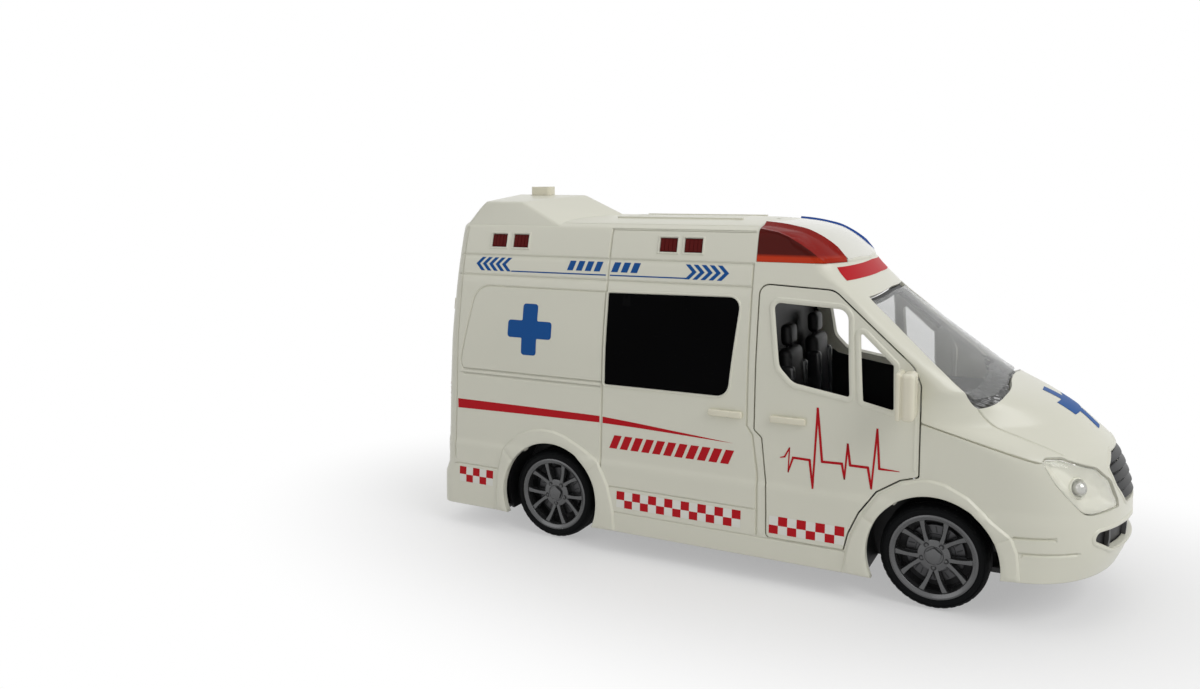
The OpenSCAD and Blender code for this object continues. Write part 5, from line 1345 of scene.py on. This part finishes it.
CHECK_INKS = ((True, RED_INK, "red"), (False, WHITE_INK, "white"))
for red, ink, tag in CHECK_INKS:
    decal("side_checkers_" + tag, checkers(-46.8, 15, True, red), ink, both=True)
    decal("tail_checkers_" + tag, checkers(-105.7, 5, True, red, -CHECK_STEP), ink, both=True)
for side, mirrored in SIDES:
    for red, ink, tag in CHECK_INKS:
        decal("door_checkers_" + tag + "_" + side, checkers(15.9, 8, False, red), ink,
              body="cab_door_" + side, mirrored=mirrored, lift=0.07)


def chevron(x, way, width=1.9, reach=2.9):
    lo, mid, hi = 109.75, 112.6, 115.4
    d = way * reach
    return side_poly([[x, hi], [x + width, hi], [x + width + d, mid], [x + width, lo], [x, lo], [x + d, mid]])


chevrons = [chevron(-115.9 + 3.3 * k, -1) for k in range(5)] + [chevron(-21.2 + 3.3 * k, 1) for k in range(5)]
decal("roof_chevrons", chevrons, BLUE_INK, both=True, step=1.0)
decal("roof_line", [side_poly([[-100.6, 110.15], [-55.4, 110.25], [-55.4, 109.75], [-100.6, 109.65]]),
                    side_poly([[-53.6, 110.25], [-20.6, 110.35], [-20.6, 109.85], [-53.6, 109.75]])],
                    BLUE_INK, both=True)


def slant_bars(x0, x1, low, high, count, slant, fillup=0.66):
    pitch = (x1 - x0 - slant) / count
    return [side_poly([[x0 + pitch * k, low], [x0 + pitch * k + slant, high],
                       [x0 + pitch * (k + fillup) + slant, high], [x0 + pitch * (k + fillup), low]])
                       for k in range(count)]


roof_bars = slant_bars(-73.6, -55.6, 111.3, 115.2, 4, 1.4) + slant_bars(-53.2, -38.8, 111.3, 115.2, 3, 1.4)
decal("roof_bars", roof_bars, BLUE_INK, both=True)
decal("side_bars", slant_bars(-50.6, 3.2, 41.9, 47.2, 11, 2.2, 0.7), RED_INK, both=True)


def plus(cx, cy, reach, arm, r=1.3):
    rows = [[-arm, reach, r], [arm, reach, r], [arm, arm, 0.5], [reach, arm, r], [reach, -arm, r],
            [arm, -arm, 0.5], [arm, -reach, r], [-arm, -reach, r], [-arm, -arm, 0.5], [-reach, -arm, r],
            [-reach, arm, r], [-arm, arm, 0.5]]
    return outline([[cx + x, cy + y, q] for x, y, q in rows], 4)


decal("quarter_mark", [from_side(dense(plus(-89.4, 86.3, 10.6, 3.6), 1.2))], BLUE_INK, both=True)
NOSE_X = np.array([98, 104.8, 111, 116.5, 120.3, 123.4])
NOSE_Z = np.array([74, 71.5, 68.5, 65, 61.5, 58.5])
half_mark = [[-3.1, 121.8], [0, 121.8], [0, 103.4], [-3.1, 103.4], [-3.1, 109.5], [-9.2, 109.5],
             [-9.2, 115.7], [-3.1, 115.7]]
half_mark = dense(half_mark, 0.8)
hood_mark = from_front([(y, np.interp(x, NOSE_X, NOSE_Z)) for y, x in half_mark])
decal("hood_mark", [hood_mark[::-1]], BLUE_INK, both=True, step=1.0, lift=0.09)
forehead = np.array([[-29.4, 115.8], [-20, 116.1], [0, 116.7], [0, 112.1], [-20, 111.7], [-31.1, 111.3]])
decal("forehead_band", [from_front(dense(forehead, 1.0))], RED_INK, both=True, lift=0.08)

insert = [(s_at_y(-LENS_INNER_Y + 0.5, z_of(v)), v)
          for v in np.linspace(v_of(LENS_LOW_Z + 0.6), v_of(131.6), 60)]
insert += [(S_NOSE, v) for v in np.linspace(v_of(131.6), v_of(LENS_LOW_Z + 0.6), 60)]
decal("roof_insert", [np.array(insert)], ROOF_WHITE, both=True, lift=0.07, step=1.2)
RIB_TOP = z_of(V_KNOTS[-1]) + 0.1
ribs = [rounded_box([-60, y - 0.8, RIB_TOP - 0.8], [-8 + abs(y) * 0.2, y + 0.8, RIB_TOP], 0.1)
        for y in (-15, -5, 5, 15)]
add("roof_ribs", *merge(*ribs), CREAM, slot="shell_cream")

seam = [from_rear(dense([[-0.3, 107.8], [0, 107.8], [0, 36.2], [-0.3, 36.2]], 1.5))]
decal("rear_door_seam", seam, BLACK, both=True)


def rear_block(y0, y1, z0, z1, out, r):
    """A small moulded block on the rear face."""
    x = float(on_skin(from_rear([(y0 / 2 + y1 / 2, z0 / 2 + z1 / 2)]))[0, 0])
    return rounded_box([max(x - out, -132.9), y0, z0], [x + 0.8, y1, z1], r)


hinges = [from_rear(dense(outline(
    [[-35.6, z, 0.6], [-31.6, z, 0.6], [-31.6, z + 5, 0.6], [-35.6, z + 5, 0.6]]), 0.6)) for z in (72, 92)]
add("rear_hinges", *join_pieces(hinges, 0.3, 0.8), TRIM, thick=0.5, both=True, slot="trim_cream", smooth=40)
add("rear_pull", *rear_block(-9, -2.2, 58.5, 61.3, 1.0, 0.4), TRIM, slot="trim_cream", smooth=40)

# The heart-line print on the cab doors: its points and its half width at each
BEAT = np.array([[19.5, 47.0], [21.2, 47.5], [22.9, 50.9], [22.6, 42.1], [24.3, 47.5], [30.4, 47.4],
                 [31.7, 37.4], [32.9, 66.3], [34.9, 47.4], [42.0, 47.6], [43.0, 42.3], [43.9, 54.8],
                 [44.9, 47.4], [51.1, 47.4], [52.4, 40.2], [54.0, 61.2], [55.0, 47.5], [61.8, 47.4]])
BEAT_W = [0.14, 0.34, 0.24, 0.24, 0.42, 0.45, 0.34, 0.42, 0.45, 0.45, 0.3, 0.36, 0.45, 0.45, 0.34, 0.36, 0.42,
          0.12]
beats = []
for a, b, wa, wb in zip(BEAT[:-1], BEAT[1:], BEAT_W[:-1], BEAT_W[1:]):
    t = (b - a) / np.linalg.norm(b - a)
    n = np.array([-t[1], t[0]])
    a, b = a - t * wa * 0.6, b + t * wb * 0.6
    beats.append(side_poly([a + n * wa, b + n * wb, b - n * wb, a - n * wa], 0.9))
for side, mirrored in SIDES:
    decal("heart_line_" + side, beats, RED_INK, body="cab_door_" + side, mirrored=mirrored, lift=0.08,
          step=0.8)

# Finishes for the solids that stay in view
FINISH = {
    "shell_cream": CREAM, "trim_cream": TRIM, "black_plastic": BLACK, "grey_plastic": INTAKE,
    "black_pane": PANE, "smoke_pane": SMOKE, "clear_lens": CLEAR, "reflector": PEARL, "red_lens": TAILRED,
    "blue_lens": BLUE_LENS, "tyre_rubber": RUBBER, "rim_gunmetal": GUNMETAL, "steel": STEEL,
    "motor_can": STEEL, "gear_nylon": NYLON, "pinion_brass": BRASS, "cell_wrap": WRAP, "board": BOARD,
    "led": LED}
CABIN_NODES = ("interior_tub", "dashboard", "steering_wheel")
slot_of = {p["node"]: p["material_slot"] for p in frame["record"]["subparts"]}
for name, ob in frame["nodes"].items():
    finish = CABIN if name in CABIN_NODES else FINISH[slot_of[name]]
    ob.data.materials.clear()
    ob.data.materials.append(finish)

# Camera, from the photograph
PHOTO_W, PHOTO_H = 1200.0, 689.0
SENSOR = 36.0
FOCAL_PX = 982.6
CENTRE_Y = 254.9
EYE = Vector((0.1278, -0.3825, 0.1504))
YAW, PITCH, ROLL = (math.radians(a) for a in (28.18, 4.70, -0.58))
ahead = Vector((-math.sin(YAW), math.cos(YAW), 0))
right = Vector((math.cos(YAW), math.sin(YAW), 0))
up = Vector((0, 0, 1))
look = ahead * math.cos(PITCH) - up * math.sin(PITCH)
top_dir = up * math.cos(PITCH) + ahead * math.sin(PITCH)
r3 = right * math.cos(ROLL) + top_dir * math.sin(ROLL)
u3 = top_dir * math.cos(ROLL) - right * math.sin(ROLL)
cam = bpy.data.cameras.new("photo_view")
cam.sensor_width = SENSOR
cam.lens = FOCAL_PX / PHOTO_W * SENSOR
cam.shift_y = (CENTRE_Y - PHOTO_H / 2) / PHOTO_W
cam.clip_start = 0.01
cam_ob = bpy.data.objects.new("photo_view", cam)
cam_ob.matrix_world = Matrix((
    (r3.x, u3.x, -look.x, EYE.x), (r3.y, u3.y, -look.y, EYE.y), (r3.z, u3.z, -look.z, EYE.z), (0, 0, 0, 1)))
bpy.context.collection.objects.link(cam_ob)
bpy.context.scene.camera = cam_ob

# Floor and light
def seen_directly(nodes, links):
    """1 for rays from the camera, reflections and rays through glass."""
    path = node(nodes, "LightPath")
    total = path.outputs["Is Camera Ray"]
    for name in ("Is Glossy Ray", "Is Transmission Ray"):
        m = node(nodes, "Math")
        m.operation = "MAXIMUM"
        links.new(total, m.inputs[0])
        links.new(path.outputs[name], m.inputs[1])
        total = m.outputs[0]
    return total


def stage_material():
    """A pale floor that turns plain white away from the object and keeps the object's shadow."""
    m = bpy.data.materials.new("studio_floor")
    m.use_nodes = True
    nodes, links = m.node_tree.nodes, m.node_tree.links
    bsdf = nodes["Principled BSDF"]
    coord = node(nodes, "TexCoord")
    noise = node(nodes, "TexNoise", Scale=6)
    links.new(coord.outputs["Object"], noise.inputs["Vector"])
    ramp = node(nodes, "ValToRGB")
    ramp.color_ramp.elements[0].color = (0.86, 0.86, 0.86, 1)
    ramp.color_ramp.elements[1].color = (0.90, 0.90, 0.90, 1)
    links.new(noise.outputs["Fac"], ramp.inputs["Fac"])
    links.new(ramp.outputs["Color"], bsdf.inputs["Base Color"])
    bsdf.inputs["Roughness"].default_value = 0.6
    bsdf.inputs["Specular IOR Level"].default_value = 0.2
    round_it = node(nodes, "Mapping", Scale=(0.75, 1.25, 1))
    links.new(coord.outputs["Object"], round_it.inputs["Vector"])
    far = node(nodes, "VectorMath")
    far.operation = "LENGTH"
    links.new(round_it.outputs["Vector"], far.inputs[0])
    span = node(nodes, "MapRange", From_Min=0.07, From_Max=0.2, To_Min=0.4, To_Max=1.0)
    span.interpolation_type = "SMOOTHSTEP"
    links.new(far.outputs["Value"], span.inputs["Value"])
    share = node(nodes, "Math")
    share.operation = "MULTIPLY"
    links.new(span.outputs["Result"], share.inputs[0])
    links.new(seen_directly(nodes, links), share.inputs[1])
    white = node(nodes, "Emission")
    mix = node(nodes, "MixShader")
    links.new(share.outputs[0], mix.inputs[0])
    links.new(bsdf.outputs[0], mix.inputs[1])
    links.new(white.outputs[0], mix.inputs[2])
    links.new(mix.outputs[0], nodes["Material Output"].inputs["Surface"])
    return m


FLOOR, FLOOR_Z = 6.0, -0.0002
floor_me = bpy.data.meshes.new("floor")
corners = ((-FLOOR, -FLOOR), (FLOOR, -FLOOR), (FLOOR, FLOOR), (-FLOOR, FLOOR))
floor_me.from_pydata([(x, y, FLOOR_Z) for x, y in corners], [], [(0, 1, 2, 3)])
floor = bpy.data.objects.new("floor", floor_me)
bpy.context.collection.objects.link(floor)
floor_me.materials.append(stage_material())


def lamp(name, place, aim, size, power):
    data = bpy.data.lights.new(name, "AREA")
    data.shape = "RECTANGLE"
    data.size, data.size_y = size
    data.energy = power
    ob = bpy.data.objects.new(name, data)
    ob.location = place
    ob.rotation_euler = (Vector(aim) - Vector(place)).to_track_quat("-Z", "Y").to_euler()
    bpy.context.collection.objects.link(ob)


lamp("key", (1.05, -0.3, 1.0), (0.02, 0, 0.05), (0.9, 0.8), 8.0)
lamp("side", (-0.6, -1.0, 0.7), (0, 0, 0.06), (0.9, 0.7), 1.5)
lamp("top", (-0.1, 0.15, 1.3), (0, 0, 0.05), (1.3, 1.1), 3.2)
world = bpy.data.worlds.new("studio")
world.use_nodes = True
bpy.context.scene.world = world
sky, sky_links = world.node_tree.nodes, world.node_tree.links
level = node(sky, "MapRange", To_Min=0.25, To_Max=1.0)
sky_links.new(seen_directly(sky, sky_links), level.inputs["Value"])
sky_links.new(level.outputs["Result"], sky["Background"].inputs["Strength"])
sky["Background"].inputs["Color"].default_value = (1.0, 1.0, 1.0, 1)
bpy.context.scene.view_settings.view_transform = "Standard"
